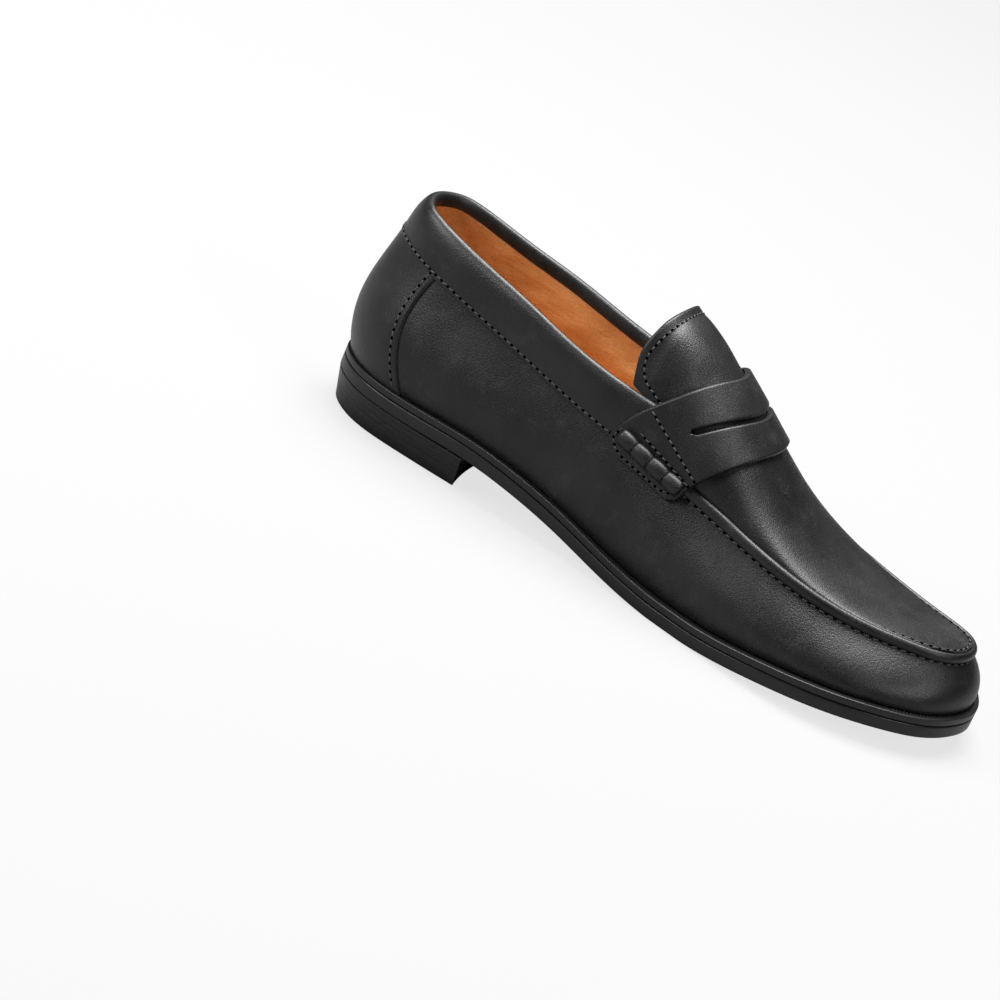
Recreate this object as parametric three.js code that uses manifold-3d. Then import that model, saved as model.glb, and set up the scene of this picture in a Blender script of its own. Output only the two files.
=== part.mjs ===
// Penny loafer, right shoe: goodyear-style sole, moccasin upper, saddle strap with a coin slit.
// Millimetres, +Z up, toe towards -Y, outer side of the foot towards -X.
// Shape functions work in shoe measures: s runs from the heel back to the toe, w towards the
// outer side and z up from the floor.
import * as THREE from 'three';
import Module from 'manifold-3d';

const wasm = await Module();
wasm.setup();

// ---------- driving dimensions (mm, degrees) ----------
const shoeLength = 300;
const patternLength = 300; // the shoe length that the stations along s are drawn for
const ballWidth = 104;
const heelHeight = 13.8; // heel stack under the outsole
const toeSpring = 7.6;
const gap = 0.3; // running gap between pieces that touch

const outsoleThickness = 5.4;
const weltThickness = 2.9;
const weltWidth = 13;
const fillerGap = 0.9;
const treadThickness = 1.6;
const treadInset = 14;
const treadRear = 150;
const threadChannelInset = 6.5;
const threadChannelWidth = 1.6;
const threadChannelDepth = 0.9;
const threadWidth = 0.8;
const threadHeight = 0.5;

const heelBreast = 75;
const heelBreastBow = 4;
const topLiftThickness = 6;
const liftCount = 3;
const heelTaper = 3;
const rearLiftLength = 27;
const pinRadius = 1.4;
const pinLength = 4.5;

const boardThickness = 2;
const sockThickness = 1.2;
const shankLength = 100;
const shankWidth = 15;
const shankThickness = 1.4;
const shankStart = 48;

const leather = 1.4;
const stiffener = 1.2;
const liningThickness = 0.9;
const patchThickness = 1.2;
const bindingDepth = 8;
const bindingThickness = 0.8;
const beadRadius = 0.9;
const ridgeHeight = 3.6;
const ridgeThickness = 1.5;
const strapThickness = 2.2;
const strapStand = 0.65; // clearance of the strap over the seam, past the running gap
const strapLift = 1.4; // how far it stands off the crown of the plug beyond that
const slitWidth = 1.6;
const slitReach = 62; // angle from the crown line to each end of the slit
const tabDepth = 6;
const tabThickness = 1.6;
const rollRadius = 2.9;
const rollBulges = 4;
const tongueThickness = 1.6;

// Half-widths at the stations theta = 15, 30 ... 165 degrees of each loop, for a 104 mm ball.
const soleOuter = [16, 28.4, 33.5, 35, 36.3, 41.5, 49, 53, 49.5, 37.5, 20];
const soleInner = [15.6, 27.9, 32.8, 33, 30.5, 33, 43.5, 51, 48, 36.5, 19.3];
const seamOuter = [12.2, 21.3, 25.1, 27.2, 29.9, 32.7, 34.8, 36, 31.4, 23.6, 14.4];
const seamInner = [12.2, 21.3, 25.1, 26.5, 27.2, 28.4, 30.2, 30.2, 25.6, 19.4, 12.8];
const toplineOuter = [11, 18.8, 22.1, 24.3, 27.3, 29.5, 30.6, 29.7, 26.5, 20.2, 11];
const toplineInner = [11, 18.8, 22.1, 24.3, 26.7, 28.4, 28.9, 27.7, 25.3, 20, 10.8];
// Heights at equal steps of s.
const undersideShare = [1, 1, 1, 1.01, 0.83, 0.53, 0.18, 0, 0, 0, 0, 0, 0]; // of heelHeight
const springShare = [0, 0, 0, 0, 0, 0, 0, 0, 0.05, 0.38, 0.7, 0.92, 1]; // of toeSpring
const wallHeights = [56, 51, 45, 40.5, 39.5, 40.5, 38, 31.5, 24, 19.9, 19];
const collarHeights = [17, 16.5, 17, 17, 18, 20.5];
const graded = (s) => (s * shoeLength) / patternLength;
const crownStart = graded(110);
const crownHeights = [60.5, 46.6, 32, 16, 7.4, 4.2, 3];
const featherInset = [2.4, 2.6, 3, 3.4, 4.2, 4.8, 4.6, 4, 3]; // at equal steps of s
const seamEnds = [3.9, 289].map(graded);
const toplineEnds = [8.5, 180].map(graded);
const toplineMeetsStrap = graded(152);
const collarEnd = graded(150); // the collar band runs under the strap to here
const apronStart = graded(157);

// Edges of strap and tongue as s at angle phi from the crown line, every 15 degrees.
const strapRear = [156.7, 156, 153.5, 149.3, 143.5, 136, 127].map(graded);
const strapFront = [186, 185, 181.3, 178, 174.2, 170, 165].map(graded);
const tongueRear = [132, 129, 126, 123, 121.5, 128].map(graded);
const tongueMaxAngle = 75;

// ---------- splines and loops ----------
function spline(values) {
  const n = values.length;
  const m = new Array(n).fill(0);
  const c = new Array(n).fill(0);
  const d = new Array(n).fill(0);
  for (let i = 1; i < n - 1; i++) {
    const p = 4 - c[i - 1];
    c[i] = 1 / p;
    d[i] = (6 * (values[i + 1] - 2 * values[i] + values[i - 1]) - d[i - 1]) / p;
  }
  for (let i = n - 2; i > 0; i--) m[i] = d[i] - c[i] * m[i + 1];
  return (t) => {
    const i = Math.min(Math.max(Math.floor(t), 0), n - 2);
    const b = t - i;
    const a = 1 - b;
    return a * values[i] + b * values[i + 1] + ((a ** 3 - a) * m[i] + (b ** 3 - b) * m[i + 1]) / 6;
  };
}

function along(values, start, end) {
  const f = spline(values);
  return (s) => f(((s - start) / (end - start)) * (values.length - 1));
}

const clamp = (x, low, high) => Math.min(Math.max(x, low), high);
const radians = THREE.MathUtils.degToRad;

// A closed outline: s follows half a cosine wave and w is sin(theta) times a periodic spline.
function loop([start, end], outer, inner, heelRadius, toeRadius) {
  const length = end - start;
  const n = outer.length + 1;
  const widen = ballWidth / 104;
  const share = (list) => list.map((w, k) => (w * widen) / Math.sin(((k + 1) * Math.PI) / n));
  const heel = Math.sqrt((heelRadius * length) / 2);
  const toe = Math.sqrt((toeRadius * length) / 2);
  const turn = [heel, ...share(outer), toe, ...share(inner).reverse()];
  const wrapped = spline([...turn, ...turn, ...turn]);
  const at = (theta) => {
    const part = ((theta / (2 * Math.PI)) % 1 + 1) % 1;
    const w = Math.sin(theta) * wrapped(turn.length + part * turn.length);
    return { s: start + (length * (1 - Math.cos(theta))) / 2, w };
  };
  return searched(at);
}

// Adds to an outline its ends, the angle at which it passes s, and its half-width there.
function searched(at) {
  const start = at(0).s;
  const end = at(Math.PI).s;
  const theta = (s, side = 1) => {
    let [low, high] = [0, Math.PI];
    for (let i = 0; i < 40; i++) {
      const mid = (low + high) / 2;
      if (at(side * mid).s < s) low = mid;
      else high = mid;
    }
    return (low + high) / 2;
  };
  const width = (s, side) => Math.abs(at(side * theta(s, side)).w);
  return { at, theta, width, start, end };
}

// The outline moved inwards, square to itself, by a distance or by one that changes with s.
function inwards(base, inset) {
  const depth = typeof inset === 'function' ? inset : () => inset;
  return searched((theta) => {
    const p = base.at(theta);
    const p1 = base.at(theta + 0.01);
    const p0 = base.at(theta - 0.01);
    const run = Math.hypot(p1.s - p0.s, p1.w - p0.w);
    const d = depth(p.s);
    return { s: p.s + (d * (p1.w - p0.w)) / run, w: p.w - (d * (p1.s - p0.s)) / run };
  });
}

const undersideFree = (() => {
  const heel = along(undersideShare, 0, shoeLength);
  const toe = along(springShare, 0, shoeLength);
  return (s) => heelHeight * heel(s) + toeSpring * toe(s);
})();
const underside = (s) => Math.max(undersideFree(clamp(s, 0, shoeLength)), 0);
const weltFoot = (s) => Math.max(undersideFree(clamp(s, 0, shoeLength)), 0) + outsoleThickness + gap;
const soleTop = (s) => weltFoot(s) + weltThickness;

const soleEdge = loop([0, shoeLength], soleOuter, soleInner, 30, 30);
const soleLoop = (inset = 0) => inwards(soleEdge, inset);
const featherAt = along(featherInset, 0, shoeLength);
const featherLoop = inwards(soleEdge, featherAt);
const seamLoop = loop(seamEnds, seamOuter, seamInner, 22, 22);
const toplineLoop = loop(toplineEnds, toplineOuter, toplineInner, 16, 20);
const wallHeight = along(wallHeights, ...seamEnds);
const seamHeight = (s) => soleTop(s) + wallHeight(s);
const collarHeight = along(collarHeights, toplineEnds[0], toplineMeetsStrap);
const crown = along(crownHeights, crownStart, seamEnds[1]);

// ---------- points and surfaces in the row frame ----------
const place = (s, w, z) => new THREE.Vector3(-w, shoeLength / 2 - s, z);

// Wall of the upper: a cubic from the feather line up to the moccasin seam, bulging at its foot
// and leaning in at its top.
const leanAt = along([12, 12, 14, 20, 34, 44, 48], 0, shoeLength);
const bulgeAt = along([23, 18, 12, 10, 14, 16, 14], 0, shoeLength);
function wall(theta, v) {
  const f = featherLoop.at(theta);
  const e = seamLoop.at(theta);
  const a = place(f.s, f.w, soleTop(f.s) + gap);
  const d = place(e.s, e.w, seamHeight(e.s));
  const f1 = featherLoop.at(theta + 0.01);
  const f0 = featherLoop.at(theta - 0.01);
  const out = new THREE.Vector3(-(f1.s - f0.s), f1.w - f0.w, 0).normalize();
  const rise = d.z - a.z;
  const foot = radians(bulgeAt(f.s));
  const top = radians(leanAt(f.s));
  const b = a.clone().addScaledVector(out, Math.sin(foot) * rise * 0.42);
  b.z += Math.cos(foot) * rise * 0.42;
  const c = d.clone().addScaledVector(out, Math.sin(top) * rise * 0.4);
  c.z -= Math.cos(top) * rise * 0.4;
  return new THREE.CubicBezierCurve3(a, b, c, d).getPoint(v);
}

// Collar: ruled from the seam up to the topline; u is -1 and 1 at the strap and 0 at the heel.
function collar(u, v) {
  const share = 1 - Math.cos((Math.abs(u) * Math.PI) / 2);
  const side = u < 0 ? -1 : 1;
  const sLow = seamEnds[0] + (collarEnd - seamEnds[0]) * share;
  const sHigh = toplineEnds[0] + (collarEnd - toplineEnds[0]) * share;
  const low = place(sLow, side * seamLoop.width(sLow, side), seamHeight(sLow));
  const high = place(sHigh, side * toplineLoop.width(sHigh, side), seamHeight(sHigh) + collarHeight(sHigh));
  return low.lerp(high, v);
}

// Dome over the foot: each rib is a superellipse from the inner seam over the crown to the outer
// seam. narrow and base pull its foot in and up, and drop lowers all of it.
const rounding = (s) => THREE.MathUtils.lerp(2.35, 2, clamp((s - graded(120)) / graded(170), 0, 1));
function dome(phi, s, { narrow = 0, base = 0, drop = 0 } = {}) {
  const toe = seamEnds[1] - narrow;
  const at = Math.min(s, toe);
  const side = phi < 0 ? -1 : 1;
  const shifted = clamp(at + narrow * clamp((at - graded(200)) / graded(90), 0, 1), seamEnds[0], seamEnds[1]);
  const half = Math.max(seamLoop.width(shifted, side) - narrow * clamp((toe - at) / 4, 0, 1), 0);
  const nose = clamp((at - (toe - 14)) / 14, 0, 1);
  const rise = Math.max(crown(at) - base, 0) * Math.sqrt(1 - nose * nose);
  const power = 2 / rounding(at);
  const w = half * Math.sin(Math.abs(phi)) ** power;
  const z = seamHeight(at) + base - drop + rise * Math.max(Math.cos(phi), 0) ** power;
  return place(at, side * w, z);
}

// ---------- closed solids ----------
function meshFrom(points, faces) {
  const index = new Map();
  const positions = [];
  const remap = points.map((p) => {
    const key = `${p.x.toFixed(5)},${p.y.toFixed(5)},${p.z.toFixed(5)}`;
    if (!index.has(key)) {
      index.set(key, positions.length / 3);
      positions.push(p.x, p.y, p.z);
    }
    return index.get(key);
  });
  const triangles = [];
  for (const [a, b, c] of faces) {
    const [i, j, k] = [remap[a], remap[b], remap[c]];
    if (i !== j && j !== k && k !== i) triangles.push(i, j, k);
  }
  const geometry = new THREE.BufferGeometry();
  geometry.setAttribute('position', new THREE.Float32BufferAttribute(positions, 3));
  geometry.setIndex(triangles);
  return geometry;
}

// Solid between an upper and a lower grid of points, with the rim closed.
function sandwich(upper, lower, closed = false) {
  const nu = upper.length;
  const nv = upper[0].length;
  const points = [...upper.flat(), ...lower.flat()];
  const faces = [];
  const top = (i, j) => (i % nu) * nv + j;
  const bottom = (i, j) => nu * nv + top(i, j);
  const quad = (a, b, c, d) => faces.push([a, b, c], [a, c, d]);
  const lastU = closed ? nu : nu - 1;
  for (let i = 0; i < lastU; i++) {
    for (let j = 0; j < nv - 1; j++) {
      quad(top(i, j), top(i + 1, j), top(i + 1, j + 1), top(i, j + 1));
      quad(bottom(i, j), bottom(i, j + 1), bottom(i + 1, j + 1), bottom(i + 1, j));
    }
    quad(bottom(i, 0), bottom(i + 1, 0), top(i + 1, 0), top(i, 0));
    quad(top(i, nv - 1), top(i + 1, nv - 1), bottom(i + 1, nv - 1), bottom(i, nv - 1));
  }
  if (!closed) {
    for (let j = 0; j < nv - 1; j++) {
      quad(top(0, j), top(0, j + 1), bottom(0, j + 1), bottom(0, j));
      quad(bottom(nu - 1, j), bottom(nu - 1, j + 1), top(nu - 1, j + 1), top(nu - 1, j));
    }
  }
  return meshFrom(points, faces);
}

const steps = (from, to, count) =>
  Array.from({ length: count + 1 }, (_, i) => from + ((to - from) * i) / count);

// Shell of even wall on a surface: inner and outer are offsets along the normal, du x dv.
function shell(surface, us, vs, inner, outer, closed = false) {
  const value = (x, u, v) => (typeof x === 'function' ? x(u, v) : x);
  const step = 1e-3;
  const grids = { upper: [], lower: [] };
  for (const u of us) {
    const upper = [];
    const lower = [];
    for (const v of vs(u)) {
      const p = surface(u, v);
      const du = surface(u + step, v).sub(surface(u - step, v));
      const dv = surface(u, v + step).sub(surface(u, v - step));
      const n = du.cross(dv).normalize();
      upper.push(p.clone().addScaledVector(n, value(outer, u, v)));
      lower.push(p.clone().addScaledVector(n, value(inner, u, v)));
    }
    grids.upper.push(upper);
    grids.lower.push(lower);
  }
  return sandwich(grids.upper, grids.lower, closed);
}

// Flat-built plate inside an outline, between two height functions.
function plate(outline, from, to, bottom, top, { count = 14, columns = 2, bow = 0, rearBow = 0 } = {}) {
  const a = outline.theta(from);
  const b = outline.theta(to);
  const rows = steps(a, b, count);
  const upper = [];
  const lower = [];
  for (let i = 0; i <= columns; i++) {
    const t = (2 * i) / columns - 1;
    const rank = (height) =>
      rows.map((theta) => {
        const { s } = outline.at(theta);
        const side = t < 0 ? -1 : 1;
        const w = Math.abs(t) * outline.width(s, side);
        const share = clamp((s - from) / (to - from), 0, 1);
        const bent = s + (1 - t * t) * (bow * share + rearBow * (1 - share));
        return place(bent, side * w, height(s));
      });
    upper.push(rank(top));
    lower.push(rank(bottom));
  }
  return sandwich(upper, lower);
}

const turnCount = 44;
const wallRowCount = 5;
const fullTurn = steps(0, 2 * Math.PI, turnCount).slice(0, -1);

// Ring lying between two outlines.
function ring(outer, inner, bottom, top, { from = 0, to = 2 * Math.PI, closed = true, columns = 1 } = {}) {
  const thetas = closed ? fullTurn : steps(from, to, turnCount);
  const grid = (height) =>
    thetas.map((theta) =>
      steps(0, 1, columns).map((k) => {
        const a = outer.at(theta);
        const b = inner.at(theta);
        const s = a.s + (b.s - a.s) * k;
        return place(s, a.w + (b.w - a.w) * k, height(s));
      }),
    );
  return sandwich(grid(top), grid(bottom), closed);
}

function solidOf(geometry) {
  return new wasm.Manifold(
    new wasm.Mesh({
      numProp: 3,
      vertProperties: new Float32Array(geometry.attributes.position.array),
      triVerts: new Uint32Array(geometry.index.array),
    }),
  );
}

function cut(geometry, ...tools) {
  let solid = solidOf(geometry);
  for (const tool of tools) solid = solid.subtract(solidOf(tool));
  const mesh = solid.getMesh();
  const points = [];
  for (let i = 0; i < mesh.vertProperties.length; i += mesh.numProp) {
    points.push(new THREE.Vector3(...mesh.vertProperties.slice(i, i + 3)));
  }
  const faces = [];
  for (let i = 0; i < mesh.triVerts.length; i += 3) faces.push(mesh.triVerts.slice(i, i + 3));
  return meshFrom(points, faces);
}

// ---------- the shoe ----------
const group = new THREE.Group();
const paint = (color, roughness, metalness = 0) =>
  new THREE.MeshStandardMaterial({ color, roughness, metalness });
const blackLeather = paint(0x141416, 0.42);
const soleRubber = paint(0x17181a, 0.6);
const treadRubber = paint(0x0f1012, 0.75);
const tanLeather = paint(0xb8702f, 0.6);
const fibre = paint(0x9a7b55, 0.85);
const cork = paint(0xa9794a, 0.9);
const steel = paint(0x9da0a4, 0.35, 1);
const thread = paint(0x2b2b2e, 0.7);

function add(name, geometry, material) {
  const mesh = new THREE.Mesh(geometry, material);
  mesh.name = name;
  group.add(mesh);
}

// Sole: outsole with a tread inlay and a stitched channel, welt, fillers, shank, boards.
const treadEnd = shoeLength - treadInset;
const tread = (inset, bottom, top) =>
  plate(soleLoop(treadInset + inset), treadRear + inset, treadEnd - inset, bottom, top, {
    rearBow: -6,
    columns: 4,
  });
const below = (depth) => (s) => underside(s) - depth;
const above = (height) => (s) => underside(s) + height;
const channelFrom = soleLoop(0).theta(heelBreast + 12);
const channel = (inset, width, bottom, top) =>
  ring(soleLoop(inset), soleLoop(inset + width), bottom, top, {
    from: channelFrom, to: 2 * Math.PI - channelFrom, closed: false,
  });
const outsoleDetail = { count: turnCount / 2 };
const outsoleBlank = plate(soleEdge, 0, shoeLength, underside, above(outsoleThickness), outsoleDetail);
add(
  'outsole',
  cut(
    outsoleBlank,
    tread(-gap, below(1), above(treadThickness + gap)),
    channel(threadChannelInset, threadChannelWidth, below(1), above(threadChannelDepth)),
  ),
  soleRubber,
);
add('forepart_tread', tread(0, underside, above(treadThickness)), treadRubber);
const threadRim = (threadChannelWidth - threadWidth) / 2;
add(
  'outsole_thread',
  channel(threadChannelInset + threadRim, threadWidth, above(0.15), above(threadChannelDepth - gap)),
  thread,
);
const onOutsole = above(outsoleThickness + gap);
add('welt', ring(soleLoop(0), soleLoop(weltWidth), onOutsole, soleTop), soleRubber);
const fillerOutline = soleLoop(weltWidth + fillerGap);
const fillerSplit = shankStart + shankLength + 4;
add(
  'cork_filler',
  plate(fillerOutline, fillerSplit, fillerOutline.end, onOutsole, soleTop, { count: 12 }),
  cork,
);
const shankTop = above(outsoleThickness + gap + shankThickness);
const overShank = (s) => shankTop(s) + gap;
const waistEnds = [fillerOutline.start, fillerSplit - gap];
add('waist_filler', plate(fillerOutline, ...waistEnds, overShank, soleTop, { count: 18 }), fibre);
const shankOutline = {
  theta: (s) => s,
  at: (s) => ({ s }),
  width: () => shankWidth / 2,
};
add(
  'shank',
  plate(shankOutline, shankStart, shankStart + shankLength, onOutsole, shankTop, { count: 10, columns: 2 }),
  steel,
);
const liningInset = leather + stiffener + liningThickness + 3 * gap;
const boardLoop = inwards(soleEdge, (s) => featherAt(s) + liningInset + 1);
const boardEnds = [boardLoop.start, boardLoop.end];
const onWelt = (s) => soleTop(s) + gap;
const boardTop = (s) => onWelt(s) + boardThickness;
const boardDetail = { count: 22 };
add('insole_board', plate(boardLoop, ...boardEnds, onWelt, boardTop, boardDetail), fibre);
const sockBase = (s) => boardTop(s) + gap;
const sockTop = (s) => sockBase(s) + sockThickness;
add('sock_liner', plate(boardLoop, ...boardEnds, sockBase, sockTop, boardDetail), tanLeather);

// Heel: a stack of lifts, and a top lift in two parts held by pins.
const liftHeight = (heelHeight - topLiftThickness - (liftCount + 1) * gap) / liftCount;
function heelLoop(z) {
  return inwards(soleEdge, heelTaper * (1 - z / heelHeight));
}
function heelSlab(low, high, from, to, options) {
  const lower = heelLoop((low + high) / 2);
  const start = Math.max(from, lower.start);
  const detail = { count: 8, columns: 4, bow: -heelBreastBow, ...options };
  return plate(lower, start, to, () => low, () => high, detail);
}
for (let k = 0; k < liftCount; k++) {
  const low = topLiftThickness + gap + k * (liftHeight + gap);
  add(`heel_lift_${k + 1}`, heelSlab(low, low + liftHeight, 0, heelBreast), soleRubber);
}
const pinSpots = [
  [heelBreast - 14, 22],
  [heelBreast - 14, -21],
  [rearLiftLength + 9, 24],
  [rearLiftLength + 9, -23],
];
const pinAt = ([s, w], radius, from, to) => {
  const pin = new THREE.CylinderGeometry(radius, radius, to - from, 12);
  pin.rotateX(Math.PI / 2);
  const spot = place(s, w, (from + to) / 2);
  pin.translate(spot.x, spot.y, spot.z);
  pin.deleteAttribute('normal');
  pin.deleteAttribute('uv');
  const points = [];
  for (let i = 0; i < pin.attributes.position.count; i++) {
    points.push(new THREE.Vector3().fromBufferAttribute(pin.attributes.position, i));
  }
  const index = pin.index.array;
  const faces = [];
  for (let i = 0; i < index.length; i += 3) faces.push([index[i], index[i + 1], index[i + 2]]);
  return meshFrom(points, faces);
};
const frontLift = heelSlab(0, topLiftThickness, rearLiftLength + gap, heelBreast);
const pinHoles = pinSpots.map((p) => pinAt(p, pinRadius + gap, -1, pinLength + gap));
add('top_lift_front', cut(frontLift, ...pinHoles), treadRubber);
add('top_lift_rear', heelSlab(0, topLiftThickness, 0, rearLiftLength, { bow: 0 }), treadRubber);
pinSpots.forEach((p, k) => add(`heel_pin_${k + 1}`, pinAt(p, pinRadius, 0, pinLength), steel));

// Upper: skirt, counter, collar, linings and stiffeners. All walls share one set of ribs, so that
// their layers stay parallel.
const wallRows = (from, to) => () => {
  const between = steps(0, 1, wallRowCount).filter((v) => v > from + 0.05 && v < to - 0.05);
  return [from, ...between, to];
};
const ribTurn = (2 * Math.PI) / turnCount;
const ribs = (first, last) => steps(first * ribTurn, last * ribTurn, last - first);
const ribAt = (s) => Math.round((featherLoop.theta(s) * turnCount) / (2 * Math.PI));
add('vamp', shell(wall, fullTurn, wallRows(0, 1), -leather, 0, true), blackLeather);
const counterRib = ribAt(34);
const patchRibs = ribs(-counterRib, counterRib);
add('counter_patch', shell(wall, patchRibs, wallRows(0.03, 0.97), gap, gap + patchThickness), blackLeather);
const stiffRib = ribAt(62);
const puffRib = ribAt(shoeLength - 58);
const stiffOuter = -leather - gap;
const stiffInner = stiffOuter - stiffener;
add(
  'counter_stiffener',
  shell(wall, ribs(-stiffRib, stiffRib), wallRows(0, 0.88), stiffInner, stiffOuter),
  fibre,
);
const puffRibs = ribs(puffRib, turnCount - puffRib);
add('toe_puff', shell(wall, puffRibs, wallRows(0, 0.9), stiffInner, stiffOuter), fibre);
function liningDepth(theta) {
  const { s } = featherLoop.at(theta);
  const heel = 1 - THREE.MathUtils.smoothstep(s, 76, 104);
  const toe = THREE.MathUtils.smoothstep(s, shoeLength - 96, shoeLength - 72);
  return stiffOuter - (stiffener + gap) * Math.max(heel, toe);
}
add(
  'wall_lining',
  shell(wall, fullTurn, wallRows(0, 0.97), (u) => liningDepth(u) - liningThickness, liningDepth, true),
  tanLeather,
);
const rows = (from, to, count) => () => steps(from, to, count);
const collarCount = 24;
const collarSpan = steps(-1, 1, collarCount);
const collarFoot = 0.04;
const bindingFoot = 1 - bindingDepth / collarHeights[0];
const collarRows = () => [collarFoot, bindingFoot, 1];
add('collar_band', shell(collar, collarSpan, collarRows, -leather, 0), blackLeather);
const collarLiningInner = stiffOuter - liningThickness;
add('collar_lining', shell(collar, collarSpan, collarRows, collarLiningInner, stiffOuter), tanLeather);
const bindingOuter = collarLiningInner - gap;
const bindingInner = bindingOuter - bindingThickness;
const topRows = () => [bindingFoot, 1];
add('topline_binding', shell(collar, collarSpan, topRows, bindingInner, bindingOuter), blackLeather);
const gripSpan = collarSpan.slice(collarCount / 4, (3 * collarCount) / 4 + 1);
const gripRows = () => [collarFoot, bindingFoot - 0.04];
add('heel_grip', shell(collar, gripSpan, gripRows, bindingInner, bindingOuter - 0.15), tanLeather);
const beadLift = (u) => {
  const edge = collar(u, 1);
  edge.z += gap + beadRadius + 0.1;
  return edge;
};
function tube(path, radius, sides, squash = 1) {
  const sections = path.map((p, i) => {
    const before = path[Math.max(i - 1, 0)].point;
    const after = path[Math.min(i + 1, path.length - 1)].point;
    const t = after.clone().sub(before).normalize();
    const out = p.out.clone().addScaledVector(t, -p.out.dot(t)).normalize();
    const up = t.clone().cross(out);
    return steps(0, 2 * Math.PI, sides).slice(0, -1).map((a) =>
      p.point.clone()
        .addScaledVector(out, Math.cos(a) * radius(i) * squash)
        .addScaledVector(up, Math.sin(a) * radius(i)),
    );
  });
  const points = [...sections.flat(), path[0].point, path[path.length - 1].point];
  const faces = [];
  const at = (i, k) => i * sides + (k % sides);
  for (let i = 0; i < sections.length - 1; i++) {
    for (let k = 0; k < sides; k++) {
      faces.push([at(i, k), at(i, k + 1), at(i + 1, k + 1)], [at(i, k), at(i + 1, k + 1), at(i + 1, k)]);
    }
  }
  const first = sections.length * sides;
  const last = sections.length - 1;
  for (let k = 0; k < sides; k++) {
    faces.push([first, at(0, k + 1), at(0, k)], [first + 1, at(last, k), at(last, k + 1)]);
  }
  return meshFrom(points, faces);
}
const beadPath = collarSpan.slice(1, -1).map((u) => {
  const out = collar(u, 1).sub(place(90, 0, 0)).setZ(0).normalize();
  return { point: beadLift(u).addScaledVector(out, bindingInner / 2), out };
});
add('topline_bead', tube(beadPath, () => beadRadius, 6, 2), blackLeather);

// Plug: apron with its lining and the raised ridge that the moccasin seam runs along.
const apronShape = { narrow: ridgeThickness + gap + 0.1, base: ridgeHeight };
const apronEnd = seamEnds[1] - apronShape.narrow;
const apronRibCount = 12;
const halfTurn = steps(-Math.PI / 2, Math.PI / 2, apronRibCount);
const apronStations = steps(0, Math.PI / 2, 12).map(
  (a) => apronStart + (apronEnd - 0.4 - apronStart) * Math.sin(a),
);
const apron = (phi, s) => dome(phi, s, apronShape);
add('apron', shell(apron, halfTurn, () => apronStations, -leather, 0), blackLeather);
const liningStations = apronStations.slice(0, -3);
add(
  'apron_lining',
  shell(apron, halfTurn.slice(2, -2), () => liningStations, stiffOuter - liningThickness, stiffOuter),
  tanLeather,
);
const ridgeStart = seamLoop.theta(strapFront[6] + 2.5);
const ridgeTurn = steps(ridgeStart, 2 * Math.PI - ridgeStart, 32);
function ridge(theta, z) {
  const { s, w } = seamLoop.at(theta);
  return place(s, w, seamHeight(s) + z);
}
const upright = () => [gap + 0.1, ridgeHeight];
add('plug_ridge', shell(ridge, ridgeTurn, upright, -ridgeThickness, 0), blackLeather);
const threadOn = (surface, us, from, to) => shell(surface, us, () => [from, to], gap, gap + threadHeight);
add('ridge_thread', threadOn(ridge, ridgeTurn, 1.4, 1.4 + threadWidth), thread);
const collarThreadFoot = 0.1;
const collarTurn = steps(-0.9, 0.9, 26);
add('collar_thread', threadOn(collar, collarTurn, collarThreadFoot, collarThreadFoot + 0.05), thread);

// Saddle strap, its tabs and the rolled ends.
// Smooth edge over the crown line, from values at equal angles on one side of it.
const mirroredEdge = (list, reach) => {
  const f = spline([...list.slice(1).reverse(), ...list]);
  return (phi) => f((phi / reach + 1) * (list.length - 1));
};
const strapBack = mirroredEdge(strapRear, Math.PI / 2);
const strapFace = mirroredEdge(strapFront, Math.PI / 2);
const strapOffset = (phi) => gap + strapStand + strapLift * Math.cos(phi) ** 2;
const strapTurn = steps(-Math.PI / 2, Math.PI / 2, 20);
const plain = (phi, s) => dome(phi, s);
const strapRows = (phi) => steps(strapBack(phi), strapFace(phi), 4);
const strapTop = (phi) => strapOffset(phi) + strapThickness;
const strapBlank = shell(plain, strapTurn, strapRows, strapOffset, strapTop);
const slitTurn = steps(-radians(slitReach), radians(slitReach), 12);
const slitRows = (phi) => {
  const middle = strapBack(phi) + 0.5 * (strapFace(phi) - strapBack(phi)) - 1;
  const half = slitWidth * Math.max(Math.cos(phi * 1.2), 0.25);
  return [middle - half, middle + half];
};
const slitFloor = (phi) => strapOffset(phi) - 1;
const slitTop = (phi) => strapTop(phi) + 1.5;
const slit = shell(plain, slitTurn, slitRows, slitFloor, slitTop);
add('saddle_strap', cut(strapBlank, slit), blackLeather);
const sides = [['outer', 1], ['inner', -1]];
for (const [name, side] of sides) {
  const thetaOf = (s) => (side > 0 ? seamLoop.theta(s) : 2 * Math.PI - seamLoop.theta(s));
  const tabEnds = [thetaOf(strapRear[6]), thetaOf(strapFront[6])].sort((a, b) => a - b);
  const tabFoot = 1 - tabDepth / wallHeight((strapRear[6] + strapFront[6]) / 2);
  const tab = shell(wall, steps(...tabEnds, 5), rows(tabFoot, 0.95, 1), gap, gap + tabThickness);
  add(`strap_tab_${name}`, tab, blackLeather);
  const rollPath = steps(strapRear[6] + 7, strapFront[6] + 1, rollBulges * 4).map((s) => {
    const point = dome(side * radians(86), s);
    const out = new THREE.Vector3(-side, 0, 0.12).normalize();
    const stand = strapOffset(Math.PI / 2) + strapThickness + gap + rollRadius * 0.8;
    return { point: point.addScaledVector(out, stand), out };
  });
  const bulge = (i) => rollRadius * (0.86 + 0.14 * Math.abs(Math.sin((i * Math.PI) / 4)));
  add(`beef_roll_${name}`, tube(rollPath, bulge, 8, 0.8), blackLeather);
}

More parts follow.
